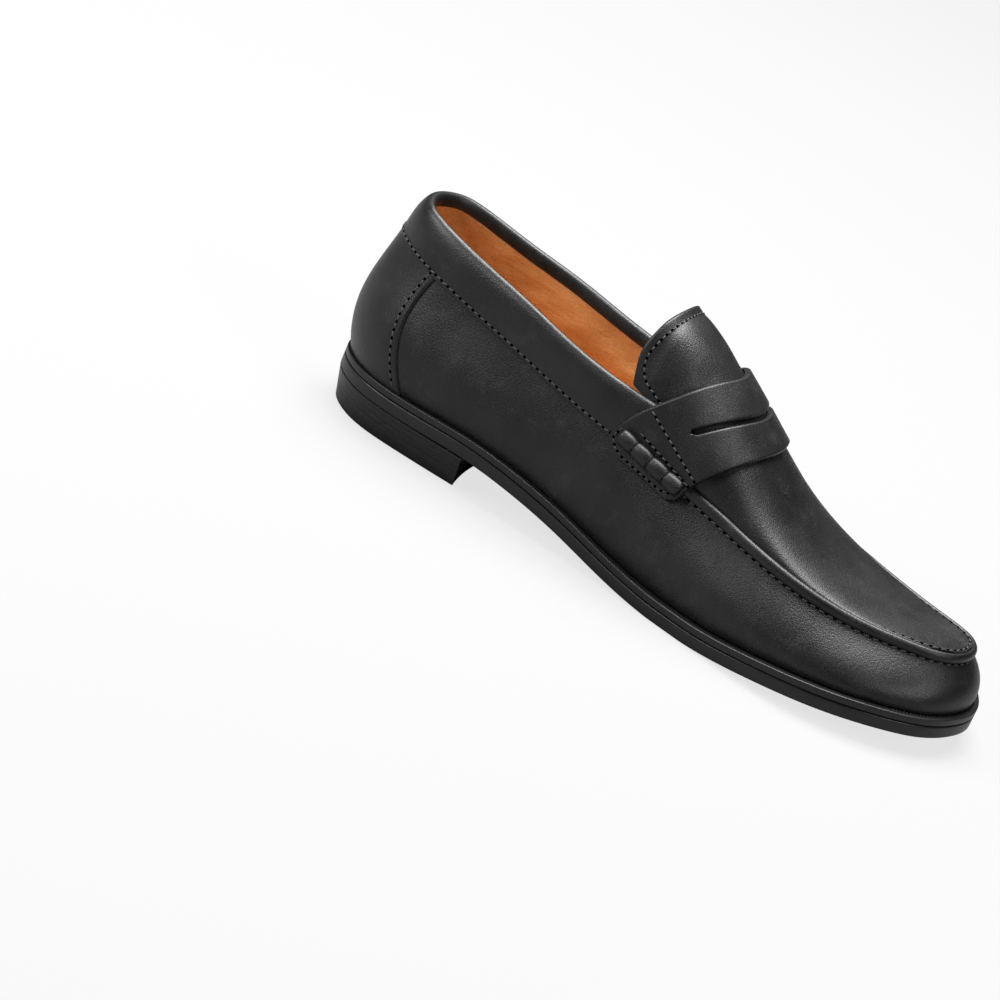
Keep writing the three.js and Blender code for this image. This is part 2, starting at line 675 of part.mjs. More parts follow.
// Tongue flap with its lining; it turns about an axis under the rear edge of the strap.
const tongueShape = { narrow: 5.2, base: 0, drop: 0.4 };
const tongueDome = (phi, s) => dome(phi, s, tongueShape);
const tongueBack = mirroredEdge(tongueRear, radians(tongueMaxAngle));
const tongueTurn = steps(-radians(tongueMaxAngle), radians(tongueMaxAngle), 16);
const tongueRows = (inset) => (phi) => steps(tongueBack(phi) + inset, strapBack(phi) - 1.2 - inset, 4);
add('tongue', shell(tongueDome, tongueTurn, tongueRows(0), -tongueThickness, 0), blackLeather);
const underTongue = -tongueThickness - gap;
add(
  'tongue_lining',
  shell(tongueDome, tongueTurn, tongueRows(0.5), underTongue - liningThickness, underTongue),
  tanLeather,
);

// Origin at the middle of the footprint, on the floor.
const box = new THREE.Box3().setFromObject(group);
const middle = box.getCenter(new THREE.Vector3());
group.position.set(-middle.x, -middle.y, -box.min.z);

export default group;
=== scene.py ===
import bmesh
import bpy
import numpy as np
from numpy import (arange, array, broadcast_to, clip, concatenate, cos, cross, hypot, interp, linspace,
                   maximum, minimum, pi, radians, sin, sqrt, stack, tile, where)
from mathutils import Matrix, Vector


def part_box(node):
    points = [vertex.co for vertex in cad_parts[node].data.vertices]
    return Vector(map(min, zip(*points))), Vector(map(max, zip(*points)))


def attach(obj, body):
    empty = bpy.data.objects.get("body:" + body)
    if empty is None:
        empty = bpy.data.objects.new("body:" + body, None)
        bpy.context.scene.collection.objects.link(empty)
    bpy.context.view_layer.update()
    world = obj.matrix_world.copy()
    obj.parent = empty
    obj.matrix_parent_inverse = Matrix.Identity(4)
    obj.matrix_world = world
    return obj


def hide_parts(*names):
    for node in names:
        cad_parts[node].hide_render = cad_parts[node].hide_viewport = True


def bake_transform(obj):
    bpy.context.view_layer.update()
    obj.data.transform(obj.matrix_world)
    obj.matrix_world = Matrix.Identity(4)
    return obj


# A right-foot penny loafer: fine surfaces and finishes around the CAD frame.
# Shapes are worked out in millimetres: s from the heel back to the toe, w to the outer side, z up.
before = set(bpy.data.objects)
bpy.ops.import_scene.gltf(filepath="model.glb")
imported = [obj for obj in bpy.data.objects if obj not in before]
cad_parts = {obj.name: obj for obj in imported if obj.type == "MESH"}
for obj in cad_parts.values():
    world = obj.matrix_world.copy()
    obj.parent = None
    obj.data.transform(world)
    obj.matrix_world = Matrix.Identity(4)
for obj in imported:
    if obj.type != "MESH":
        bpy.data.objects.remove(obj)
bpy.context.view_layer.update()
print("frame loaded:", len(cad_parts), "nodes")

shoe = {
    "length": 300.0,
    "underside": [1, 1, 1, 1.01, 0.83, 0.53, 0.18, 0, 0, 0, 0, 0, 0],
    "spring": [0, 0, 0, 0, 0, 0, 0, 0, 0.05, 0.38, 0.7, 0.92, 1],
    "heelHeight": 13.8,
    "toeSpring": 7.6,
    "soleThickness": 8.6,
    "soleOuter": [16, 28.4, 33.5, 35, 36.3, 41.5, 49, 53, 49.5, 37.5, 20],
    "soleInner": [15.6, 27.9, 32.8, 33, 30.5, 33, 43.5, 51, 48, 36.5, 19.3],
    "seamEnds": [3.9, 289],
    "seamOuter": [12.2, 21.3, 25.1, 27.2, 29.9, 32.7, 34.8, 36, 31.4, 23.6, 14.4],
    "seamInner": [12.2, 21.3, 25.1, 26.5, 27.2, 28.4, 30.2, 30.2, 25.6, 19.4, 12.8],
    "toplineEnds": [8.5, 180],
    "toplineOuter": [11, 18.8, 22.1, 24.3, 27.3, 29.5, 30.6, 29.7, 26.5, 20.2, 11],
    "toplineInner": [11, 18.8, 22.1, 24.3, 26.7, 28.4, 28.9, 27.7, 25.3, 20, 10.8],
    "wallHeights": [56, 51, 45, 40.5, 39.5, 40.5, 38, 31.5, 24, 19.9, 19],
    "collarHeights": [17, 16.5, 17, 17, 18, 20.5],
    "crownHeights": [60.5, 46.6, 32, 16, 7.4, 4.2, 3],
    "featherInset": [2.4, 2.6, 3, 3.4, 4.2, 4.8, 4.6, 4, 3],
    "lean": [12, 12, 14, 20, 34, 44, 48],
    "bulge": [23, 18, 12, 10, 14, 16, 14],
    "footHandle": 0.42, "topHandle": 0.4, "gap": 0.3,
    "collarReach": 150.0,
}
upwards = array([0, 0, 1.0])


def spline(values):
    # Natural cubic through values at 0, 1, 2 ...: second derivatives from a tridiagonal system.
    v = np.asarray(values, float)
    n = len(v)
    system = np.eye(n)
    right = np.zeros(n)
    for i in range(1, n - 1):
        system[i, i - 1:i + 2] = [1, 4, 1]
        right[i] = 6 * (v[i + 1] - 2 * v[i] + v[i - 1])
    m = np.linalg.solve(system, right)

    def value(t):
        i = clip(np.floor(t).astype(int), 0, n - 2)
        b = t - i
        a = 1 - b
        return a * v[i] + b * v[i + 1] + ((a**3 - a) * m[i] + (b**3 - b) * m[i + 1]) / 6
    return value


def along(values, start, end):
    curve = spline(values)
    return lambda s: curve((np.asarray(s, float) - start) / (end - start) * (len(values) - 1))


class Outline:
    # A closed outline in plan: at(theta) gives s and w, with theta 0 at the heel and pi at the toe.
    def __init__(self, at):
        self.at = at
        turn = linspace(0, pi, 3001)
        self.table = {side: (at(side * turn)[0], turn) for side in (1, -1)}
        self.start = float(self.table[1][0][0])
        self.end = float(self.table[1][0][-1])

    def theta(self, s, side=1):
        # Signed angle at which the outline passes s on the outer (1) or inner (-1) side.
        return where(np.asarray(side) > 0, interp(s, *self.table[1]), -interp(s, *self.table[-1]))

    def width(self, s, side):
        return np.abs(self.at(self.theta(s, side))[1])

    def inwards(self, inset):
        # Moves every point square to the outline by inset, a number or a function of s.
        def at(theta):
            s, w = self.at(theta)
            ds, dw = self.step(theta)
            distance = (inset(s) if callable(inset) else inset) / hypot(ds, dw)
            return s + distance * dw, w - distance * ds
        return Outline(at)

    def step(self, theta, half=0.01):
        # The change of s and w over a short turn about theta.
        s1, w1 = self.at(theta + half)
        s0, w0 = self.at(theta - half)
        return s1 - s0, w1 - w0

    def outward(self, theta):
        # The level direction square to the outline, in the shared frame.
        ds, dw = self.step(theta)
        return unit(stack([-ds, dw, 0 * ds], -1))


def closedOutline(ends, outer, inner, heelRadius, toeRadius):
    # s is half a cosine wave and w is sin(theta) times a periodic spline through the half-widths.
    start, end = ends
    length = end - start
    n = len(outer) + 1
    k = arange(1, n)
    share = [np.asarray(side) / sin(k * pi / n) for side in (outer, inner)]
    ring = concatenate([[sqrt(heelRadius * length / 2)], share[0],
                        [sqrt(toeRadius * length / 2)], share[1][::-1]])
    wrapped = spline(tile(ring, 3))

    def at(theta):
        part = np.mod(theta / (2 * pi), 1)
        w = sin(theta) * wrapped(len(ring) * (1 + part))
        return start + length * (1 - cos(theta)) / 2, w
    return Outline(at)


length = shoe["length"]
heelPart = along(shoe["underside"], 0, length)
springPart = along(shoe["spring"], 0, length)
soleEdge = closedOutline([0, length], shoe["soleOuter"], shoe["soleInner"], 30, 30)
feather = soleEdge.inwards(along(shoe["featherInset"], 0, length))
seam = closedOutline(shoe["seamEnds"], shoe["seamOuter"], shoe["seamInner"], 22, 22)
topline = closedOutline(shoe["toplineEnds"], shoe["toplineOuter"], shoe["toplineInner"], 16, 20)
wallRise = along(shoe["wallHeights"], *shoe["seamEnds"])
collarRise = along(shoe["collarHeights"], shoe["toplineEnds"][0], 152)
crownRise = along(shoe["crownHeights"], 110, shoe["seamEnds"][1])
leanAt = along(shoe["lean"], 0, length)
bulgeAt = along(shoe["bulge"], 0, length)


def underside(s):
    s = clip(s, 0, length)
    return maximum(shoe["heelHeight"] * heelPart(s) + shoe["toeSpring"] * springPart(s), 0)


def soleTop(s):
    return underside(s) + shoe["soleThickness"]


def seamHeight(s):
    return soleTop(s) + wallRise(s)


outsoleLow, outsoleHigh = [array(corner) * 1000 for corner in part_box("outsole")]
widest = soleEdge.at(linspace(0, pi, 2001))[1].max()
originX = outsoleLow[0] + widest
originY = outsoleHigh[1]


def place(s, w, z):
    s, w, z = np.broadcast_arrays(s, w, z)
    return stack([originX - w, originY - s, z], -1).astype(float)


def unit(v):
    return v / maximum(np.linalg.norm(v, axis=-1, keepdims=True), 1e-9)


def wall(theta, v):
    # Cubic Bezier from the feather line (v 0) to the seam (v 1), bulging at its foot and leaning in
    # at its top.
    theta, v = np.broadcast_arrays(theta, v)
    fs, fw = feather.at(theta)
    es, ew = seam.at(theta)
    a = place(fs, fw, soleTop(fs) + shoe["gap"])
    d = place(es, ew, seamHeight(es))
    out = feather.outward(theta)
    rise = (d - a)[..., 2:]
    foot = radians(bulgeAt(fs))[..., None]
    top = radians(leanAt(fs))[..., None]
    b = a + shoe["footHandle"] * rise * (out * sin(foot) + upwards * cos(foot))
    c = d + shoe["topHandle"] * rise * (out * sin(top) - upwards * cos(top))
    t = v[..., None]
    return (1 - t)**3 * a + 3 * (1 - t)**2 * t * b + 3 * (1 - t) * t**2 * c + t**3 * d


def collarStation(share, ends):
    # From the rear end of the seam or the topline to the collar's front end under the strap.
    return shoe[ends][0] + (shoe["collarReach"] - shoe[ends][0]) * share


def collar(u, v):
    # Ruled from the seam (v 0) up to the topline (v 1); u is -1 and 1 at the strap, 0 at the heel.
    u, v = np.broadcast_arrays(u, v)
    share = 1 - cos(np.abs(u) * pi / 2)
    side = where(u < 0, -1, 1)
    sLow = collarStation(share, "seamEnds")
    sHigh = collarStation(share, "toplineEnds")
    low = place(sLow, side * seam.width(sLow, side), seamHeight(sLow))
    high = place(sHigh, side * topline.width(sHigh, side), seamHeight(sHigh) + collarRise(sHigh))
    return low + (high - low) * v[..., None]


def dome(phi, s, narrow=0.0, base=0.0, drop=0.0, full=0.0):
    # Superellipse ribs over the foot, from the inner seam (phi -90) over the crown to the outer;
    # full squares their shoulders.
    phi, s = np.broadcast_arrays(phi, s)
    toe = shoe["seamEnds"][1] - narrow
    at = minimum(s, toe)
    side = where(phi < 0, -1, 1)
    shifted = clip(at + narrow * clip((at - 200) / 90, 0, 1), *shoe["seamEnds"])
    half = maximum(seam.width(shifted, side) - narrow * clip((toe - at) / 4, 0, 1), 0)
    nose = clip((at - (toe - 14)) / 14, 0, 1)
    rise = maximum(crownRise(at) - base, 0) * sqrt(1 - nose**2)
    power = 2 / (2.35 - 0.35 * clip((at - 120) / 170, 0, 1) + full)
    w = half * sin(np.abs(phi))**power
    z = seamHeight(at) + base - drop + rise * maximum(cos(phi), 0)**power
    return place(at, side * w, z)


def normalOf(surface, u, v, stepU=1e-3, stepV=1e-3):
    du = surface(u + stepU, v) - surface(u - stepU, v)
    dv = surface(u, v + stepV) - surface(u, v - stepV)
    return unit(cross(du, dv))


sideFall = 0.83  # how much of the wall's height one radian past the seam covers


def over(phi, s):
    # The dome, carried on past the seam and down the wall: what the strap and its tabs lie on.
    phi, s = np.broadcast_arrays(phi, s)
    side = where(phi < 0, -1, 1)
    beyond = maximum(np.abs(phi) - pi / 2, 0)
    upper = dome(side * minimum(np.abs(phi), pi / 2), s)
    lower = wall(seam.theta(s, side), 1 - beyond * sideFall)
    return where((beyond > 0)[..., None], lower, upper)


def overNormal(phi, s):
    return normalOf(over, phi, s, 0.07, 0.5)


def gridFaces(nu, nv, closedU=False, closedV=False):
    i, j = np.meshgrid(arange(nu if closedU else nu - 1), arange(nv if closedV else nv - 1),
                       indexing="ij")
    i1, j1 = (i + 1) % nu, (j + 1) % nv
    return stack([i * nv + j, i1 * nv + j, i1 * nv + j1, i * nv + j1], -1).reshape(-1, 4)


def shellFaces(nu, nv, closedU=False):
    # Two grids, the outer first, with walls between their rims.
    count = nu * nv
    outer = gridFaces(nu, nv, closedU)
    inner = gridFaces(nu, nv, closedU)[:, ::-1] + count
    i = arange(nu if closedU else nu - 1)
    i1 = (i + 1) % nu
    low = stack([i * nv + count, i1 * nv + count, i1 * nv, i * nv], -1)
    high = stack([i * nv, i1 * nv, i1 * nv + count, i * nv + count], -1) + nv - 1
    parts = [outer, inner, low, high]
    if not closedU:
        j = arange(nv - 1)
        last = (nu - 1) * nv
        parts.append(stack([j, j + 1, j + 1 + count, j + count], -1))
        parts.append(stack([last + j + count, last + j + 1 + count, last + j + 1, last + j], -1))
    return concatenate(parts)


def addObject(name, data):
    made = bpy.data.objects.new(name, data)
    bpy.context.scene.collection.objects.link(made)
    return made


def makeMesh(name, points, faces, finish, body="shoe", replaces=(), sharp=40, weld=False, blendAt=None):
    # Points in millimetres and quads become a mesh in metres, turned so that its faces point out
    # (the volume summed from the origin is positive); the piece is hung on its body, or baked in place,
    # and the frame parts it replaces are hidden.
    points = np.asarray(points, float).reshape(-1, 3) / 1000
    faces = np.asarray(faces, int)
    corner = points[faces]
    volume = (cross(corner[:, 0], corner[:, 1]) * corner[:, 2]).sum()
    volume += (cross(corner[:, 0], corner[:, 2]) * corner[:, 3]).sum()
    if volume < 0:
        faces = faces[:, ::-1]
    data = bpy.data.meshes.new(name)
    data.vertices.add(len(points))
    data.vertices.foreach_set("co", points.astype(np.float32).ravel())
    data.loops.add(faces.size)
    data.loops.foreach_set("vertex_index", np.ascontiguousarray(faces).ravel())
    data.polygons.add(len(faces))
    data.polygons.foreach_set("loop_start", arange(len(faces)) * 4)
    data.polygons.foreach_set("loop_total", np.full(len(faces), 4))
    data.update(calc_edges=True)
    data.validate()
    if weld:
        edit = bmesh.new()
        edit.from_mesh(data)
        bmesh.ops.remove_doubles(edit, verts=edit.verts, dist=2e-6)
        bmesh.ops.dissolve_degenerate(edit, dist=1e-6, edges=edit.edges)
        edit.to_mesh(data)
        edit.free()
    data.polygons.foreach_set("use_smooth", np.ones(len(data.polygons), bool))
    data.set_sharp_from_angle(angle=radians(sharp))
    data.materials.append(finishes[finish])
    piece = addObject(name, data)
    if blendAt:
        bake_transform(piece)
    else:
        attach(piece, body)
    if replaces:
        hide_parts(*replaces)


def rimSteps(count, share=0.05, extra=6):
    # 0 to 1 with extra lines close to both ends, where an edge is rounded.
    edge = share * (1 - cos(linspace(0, pi / 2, extra)))[:-1]
    inside = linspace(share, 1 - share, count)
    return concatenate([edge, inside, (1 - edge)[::-1]])


def rimLift(distance, rim):
    # Quarter circle: 0 at the edge, 1 from rim inwards.
    return sqrt(clip(1 - clip(1 - distance / rim, 0, 1)**2, 0, 1))


def runs(p, axis):
    step = np.linalg.norm(np.diff(p, axis=axis), axis=-1)
    total = concatenate([np.take(step, [0], axis) * 0, np.cumsum(step, axis)], axis)
    return total, np.take(total, [-1], axis) - total


def patch(name, surface, u, v, tall, floor, finish, rim=1.0, open="", normals=None, edge=None, **options):
    # A sheet on a surface, at its parameters u, v: it lies between floor and tall over the surface,
    # and its top falls in a quarter circle to the floor at every rim that is not in open. edge
    # gives a further distance to count as rim.
    p = surface(u, v)
    n = normals(u, v) if normals else normalOf(surface, u, v)
    fromA, toA = runs(p, 0)
    fromB, toB = runs(p, 1)
    d = np.full(p.shape[:2], 1e3)
    for key, distance in (("a", fromA), ("A", toA), ("b", fromB), ("B", toB)):
        if key not in open:
            d = minimum(d, distance)
    if edge is not None:
        d = minimum(d, edge(fromB, toB))
    lift = floor + (tall - floor) * rimLift(d, rim)
    outer = p + n * lift[..., None]
    inner = p + n * broadcast_to(floor, lift.shape)[..., None]
    makeMesh(name, [outer, inner], shellFaces(*p.shape[:2]), finish, **options)


def ringsAlong(path, out, up, section):
    # A section, out and up of each point, carried along a path and kept square to it.
    run = unit(np.gradient(path, axis=0))
    out = unit(out - run * (out * run).sum(-1, keepdims=True))
    up = up - run * (up * run).sum(-1, keepdims=True)
    up = unit(up - out * (up * out).sum(-1, keepdims=True))
    section = broadcast_to(section, (len(path),) + np.shape(section)[-2:])
    return path[:, None] + out[:, None] * section[..., :1] + up[:, None] * section[..., 1:]


def capped(rings):
    # Faces of one tube of rings, with a fan over each end.
    n, k = rings.shape[:2]
    j = arange(k)
    j1 = (j + 1) % k
    points = concatenate([rings.reshape(-1, 3), rings[:1].mean(1), rings[-1:].mean(1)])
    first = stack([j1, j, np.full(k, n * k), np.full(k, n * k)], -1)
    last = stack([(n - 1) * k + j, (n - 1) * k + j1, np.full(k, n * k + 1), np.full(k, n * k + 1)], -1)
    return points, concatenate([gridFaces(n, k, False, True), first, last])


def sweep(name, path, out, up, section, finish, **options):
    points, faces = capped(ringsAlong(path, out, up, section))
    makeMesh(name, points, faces, finish, weld=True, **options)


def circle(radius, count=12, flat=1.0):
    a = linspace(0, 2 * pi, count, endpoint=False)
    return stack([cos(a) * radius * flat, sin(a) * radius], -1)


def copies(name, grids, finish, **options):
    # Many small tubes of six sides in one piece: grids is copies x rings x 6 x 3.
    count, n, k = grids.shape[:3]
    one = concatenate([gridFaces(n, k, False, True), [[0, 3, 2, 1], [0, 5, 4, 3]],
                       array([[0, 1, 2, 3], [0, 3, 4, 5]]) + (n - 1) * k])
    faces = (one[None] + (arange(count) * n * k)[:, None, None]).reshape(-1, 4)
    makeMesh(name, grids, faces, finish, sharp=180, **options)


def spaced(path, up, pitch, shift=0.0):
    # Places at an even pitch on a path, with the direction along it and the one off the surface.
    run = concatenate([[0], np.cumsum(np.linalg.norm(np.diff(path, axis=0), axis=1))])
    count = max(int(round(run[-1] / pitch)), 1)
    at = (arange(count) + 0.5 + shift) * run[-1] / count

    def read(spots, values):
        return stack([interp(spots, run, column) for column in values.T], -1)

    ahead = unit(read(at + 0.3, path) - read(at - 0.3, path))
    off = read(at, up)
    off = unit(off - ahead * (off * ahead).sum(-1, keepdims=True))
    return read(at, path), ahead, off


# The last value sizes the flat dark discs of painted shade at the needle holes.
stitch = {"pitch": 3.3, "length": 2.3, "radius": 0.33, "skew": 9, "bury": 0.12, "holeRadius": 0.62}


def beads(name, places, t, half, lift, wide, flat, finish, **options):
    # A small tube at each place: t are its stations from -1 to 1 over half its length either way.
    points, run, off = places
    a = linspace(0, 2 * pi, 6, endpoint=False)
    centre = (points[:, None] + run[:, None] * (t * half)[None, :, None]
              + off[:, None] * (lift + 0 * t)[None, :, None])
    ring = (cross(off, run)[:, None, None] * cos(a)[None, None, :, None]
            + off[:, None, None] * (sin(a) * flat)[None, None, :, None])
    copies(name, centre[:, :, None] + ring * wide[None, :, None, None], finish, **options)


def stitches(name, path, up, finish="thread", hole=True, replaces=(), blendAt=None, body="shoe",
             **change):
    # Separate stitches: each is a capsule, arched between its needle holes and a little skewed.
    # Each hole is a flat near-black bead at the end of a stitch: painted shade where the hole would be
    # dark.
    fit = {**stitch, **change}
    points, run, off = spaced(path, up, fit["pitch"])
    skew = radians(fit["skew"])
    run = run * cos(skew) + cross(off, run) * sin(skew)
    t = linspace(-1, 1, 7)
    arch = fit["radius"] * (0.2 - 1.1 * t**4) - fit["bury"] + 0.14
    beads(name, (points, run, off), t, fit["length"] / 2, arch,
          fit["radius"] * sqrt(1.02 - t**4), 1, finish, body=body, replaces=replaces, blendAt=blendAt)
    # The hole beads are painted shade: flat near-black discs where the needle holes would lie in shadow.
    if hole:
        t = array([-1, -0.6, 0, 0.6, 1])
        beads(name + "_holes", spaced(path, up, fit["pitch"], 0.5), t, fit["holeRadius"] * 1.2, 0,
              fit["holeRadius"] * sqrt(1.03 - t**2), 0.3, "hole", body=body, blendAt=blendAt)


def bySide(name, build):
    for label, side in (("outer", 1), ("inner", -1)):
        build(f"{name}_{label}", side)


class Value:
    # A socket with arithmetic: each operator adds one Math node.
    def __init__(self, nodes, socket):
        self.nodes = nodes
        self.socket = socket

    def math(self, operation, first, second):
        node = self.nodes.tree.nodes.new("ShaderNodeMath")
        node.operation = operation
        self.nodes.feed(node.inputs[0], first)
        self.nodes.feed(node.inputs[1], second)
        return Value(self.nodes, node.outputs[0])

    def __add__(self, other):
        return self.math("ADD", self, other)

    def __radd__(self, other):
        return self.math("ADD", other, self)

    def __sub__(self, other):
        return self.math("SUBTRACT", self, other)

    def __mul__(self, other):
        return self.math("MULTIPLY", self, other)

    def __rmul__(self, other):
        return self.math("MULTIPLY", other, self)


class Finish:
    # A material under construction. node() adds any node from its type, settings and sockets.
    def __init__(self, name, **principled):
        self.material = bpy.data.materials.new(name)
        self.material.use_nodes = True
        self.tree = self.material.node_tree
        self.shader = self.tree.nodes["Principled BSDF"]
        for key, value in principled.items():
            self.feed(self.shader.inputs[key.replace("_", " ")], value)
        self.place = self.node("ShaderNodeTexCoord").outputs["Object"]

    def feed(self, socket, item):
        if isinstance(item, Value):
            self.tree.links.new(item.socket, socket)
        elif isinstance(item, bpy.types.NodeSocket):
            self.tree.links.new(item, socket)
        else:
            socket.default_value = item

    def node(self, kind, settings=None, **sockets):
        node = self.tree.nodes.new(kind)
        for key, value in (settings or {}).items():
            setattr(node, key, value)
        for key, value in sockets.items():
            self.feed(node.inputs[key.replace("_", " ")], value)
        return node

    def noise(self, scale, detail=3.0, roughness=0.5, stretch=None):
        at = self.place
        if stretch:
            at = self.node("ShaderNodeMapping", Vector=at, Scale=stretch).outputs[0]
        node = self.node("ShaderNodeTexNoise", Vector=at, Scale=scale, Detail=detail, Roughness=roughness)
        return Value(self, node.outputs["Fac"])

    def cells(self, scale):
        node = self.node("ShaderNodeTexVoronoi", Vector=self.place, Scale=scale)
        return Value(self, node.outputs["Distance"])

    def mix(self, share, a, b):
        node = self.node("ShaderNodeMix", {"data_type": "RGBA"})
        self.feed(node.inputs["Factor"], share)
        self.feed(node.inputs[6], a)
        self.feed(node.inputs[7], b)
        return node.outputs[2]

    def ramp(self, share, low, high):
        node = self.node("ShaderNodeMapRange", Value=share, From_Min=low, From_Max=high)
        return Value(self, node.outputs[0])

    def bump(self, height, strength, distance):
        node = self.node("ShaderNodeBump", Height=height, Strength=strength, Distance=distance)
        self.feed(self.shader.inputs["Normal"], node.outputs[0])

    def set(self, socket, item):
        self.feed(self.shader.inputs[socket], item)


def calfLeather(name, rough=0.40):
    # Dull black calf: cloudy polish, a fine pebble of pores and sparse brighter specks.
    f = Finish(name, Specular_IOR_Level=0.38, Coat_Roughness=0.32)
    cloud = f.noise(38, 4, 0.55)
    grain = f.noise(1700, 3, 0.65)
    pores = f.cells(1500)
    wear = f.ramp(grain * f.noise(110, 2), 0.30, 0.42)
    polish = f.mix(f.ramp(cloud, 0.35, 0.65), (0.0030, 0.0030, 0.0032, 1), (0.0075, 0.0075, 0.0078, 1))
    f.set("Base Color", f.mix(wear * 0.5, polish, (0.030, 0.030, 0.030, 1)))
    f.set("Roughness", rough + (cloud - 0.5) * 0.18 + (grain - 0.5) * 0.30)
    f.set("Coat Weight", f.ramp(cloud, 0.3, 0.8) * 0.08)
    f.bump(grain * 0.7 + pores * 0.4 + cloud * 0.7, 0.3, 0.00045)
    return f.material


def tanLining(name):
    f = Finish(name, Specular_IOR_Level=0.3)
    cloud = f.noise(28, 4, 0.55)
    grain = f.noise(1300, 3, 0.6)
    crease = f.noise(90, 5, 0.6, (1.0, 0.35, 1.6))
    deep = f.mix(f.ramp(cloud, 0.3, 0.7), (0.46, 0.175, 0.046, 1), (0.68, 0.31, 0.10, 1))
    f.set("Base Color", f.mix(f.ramp(grain, 0.35, 0.75) * 0.35, deep, (0.26, 0.09, 0.02, 1)))
    f.set("Roughness", 0.52 + (grain - 0.5) * 0.2)
    f.bump(grain * 0.5 + crease * 2.2 + cloud * 0.6, 0.6, 0.0009)
    return f.material


def soleEdgeFinish(name):
    f = Finish(name, Specular_IOR_Level=0.35)
    cloud = f.noise(60, 3)
    streak = f.noise(240, 3, 0.6, (0.25, 0.25, 6.0))
    f.set("Base Color", f.mix(streak, (0.005, 0.005, 0.0055, 1), (0.012, 0.012, 0.0125, 1)))
    f.set("Roughness", 0.36 + (cloud - 0.5) * 0.15 + (streak - 0.5) * 0.2)
    f.bump(streak * 0.6 + cloud * 0.4, 0.14, 0.0003)
    return f.material


def grained(name, pattern, dark, light, rough, swing, strength, distance=0.0002, **principled):
    # One noise pattern (scale, detail, roughness, stretch) drives colour, roughness and bump.
    f = Finish(name, **principled)
    grain = f.noise(*pattern)
    f.set("Base Color", f.mix(grain, dark, light))
    f.set("Roughness", rough + (grain - 0.5) * swing)
    f.bump(grain, strength, distance)
    return f.material


def thread(name, dark, light, gloss=0.4, rough=0.5):
    return grained(name, (1800, 2), dark, light, rough, 0.2, 0.35, Specular_IOR_Level=gloss)


def corkFinish(name):
    f = Finish(name)
    f.set("Base Color", f.mix(f.ramp(f.cells(420), 0.1, 0.6), (0.2, 0.11, 0.05, 1), (0.46, 0.3, 0.16, 1)))
    f.set("Roughness", 0.85 + (f.noise(300) - 0.5) * 0.1)
    f.bump(f.cells(420), 0.4, 0.0005)
    return f.material


finishes = {
    "calf": calfLeather("calf_leather"),
    "strapCalf": calfLeather("strap_calf", rough=0.44),
    "tan": tanLining("tan_lining"),
    "edge": soleEdgeFinish("sole_edge"),
    "tread": grained("tread_rubber", (900, 3), (0.006, 0.006, 0.0065, 1), (0.014, 0.014, 0.0145, 1),
                     0.55, 0.25, 0.2, Specular_IOR_Level=0.4),
    "thread": thread("waxed_thread", (0.020, 0.020, 0.021, 1), (0.075, 0.075, 0.078, 1)),
    # The finish for the hole beads: near-black and matte, painted shade for the needle holes.
    "hole": thread("needle_hole", (0.0006, 0.0006, 0.0006, 1), (0.0012, 0.0012, 0.0012, 1), 0.0, 0.9),
    "wrap": thread("roll_cord", (0.003, 0.003, 0.003, 1), (0.010, 0.010, 0.0105, 1), 0.25, 0.6),
    "tanThread": thread("tan_thread", (0.42, 0.22, 0.09, 1), (0.62, 0.38, 0.2, 1)),
    "cork": corkFinish("cork_fill"),
    "fibre": grained("fibre_board", (500, 4, 0.7, (0.4, 2.0, 1.0)), (0.25, 0.17, 0.09, 1),
                     (0.42, 0.3, 0.17, 1), 0.8, 0.15, 0.3, 0.0003),
    "steel": grained("shank_steel", (500, 3, 0.6, (1.0, 0.1, 1.0)), (0.5, 0.51, 0.53, 1),
                     (0.66, 0.67, 0.69, 1), 0.38, 0.2, 0.15, Metallic=1.0),
}
print("finishes ready")


sole = {"round": 0.7, "outsole": 5.4, "welt": 2.9, "channel": 7.3, "channelHalf": 0.85,
        "channelFloor": 0.6, "channelDepth": 0.75, "wheeled": 0.55, "recess": 1.3,
        "recessStart": 148.5, "stitchedFrom": 84.0}


def arc(centre, height, radius, start, end, count=5):
    # Points (inset, height) of a rounded edge; angles run from the edge (0) up over the top (90).
    a = radians(linspace(start, end, count))
    return [(centre - radius * cos(t), height + radius * sin(t)) for t in a]


def heightAt(height, s):
    return height(s) if callable(height) else height


def soleLoops(outline, profile, turn):
    theta = linspace(0, 2 * pi, turn, endpoint=False)
    loops = []
    for inset, height in profile:
        s, w = (outline.inwards(inset) if abs(inset) > 1e-9 else outline).at(theta)
        loops.append(place(s, w, underside(s) + heightAt(height, s)))
    return stack(loops, 1)


def planGrid(outline, theta, across):
    # Rows along an outline and columns across it, from its inner (-1) to its outer side (1).
    s = outline.at(theta)[0][:, None] + 0 * across
    side = where(across < 0, -1, 1)[None] + 0 * s
    half = outline.width(s, side)
    return s, half * np.abs(across) * side, half


def slab(name, outline, profile, finish, turn=360, **options):
    # A closed plate: loops round the outline through the profile's (inset, height) points, and a
    # middle line that closes the top at the first height and the underside at the last.
    rings = soleLoops(outline, profile, turn)
    theta = linspace(0, 2 * pi, turn, endpoint=False)
    share = (1 - cos(theta)) / 2
    ends = []
    for inset, height in (profile[0], profile[-1]):
        inner = outline.inwards(inset + 3)
        s = inner.start + (inner.end - inner.start) * share
        ends.append(place(s, 0 * s, underside(s) + heightAt(height, s))[:, None])
    grid = concatenate([ends[0], rings, ends[1]], 1)
    makeMesh(name, grid, gridFaces(*grid.shape[:2], True), finish, weld=True, **options)


def ringPiece(name, outline, profile, finish, turn=400, **options):
    # A closed profile of (inset, height over the underside) carried round an outline.
    grid = soleLoops(outline, profile, turn)
    makeMesh(name, grid, gridFaces(turn, len(profile), True, True), finish, **options)


def recess(s):
    # The forepart of the underside is let in for the tread pad.
    return sole["recess"] * clip((s - sole["recessStart"]) / 2, 0, 1)


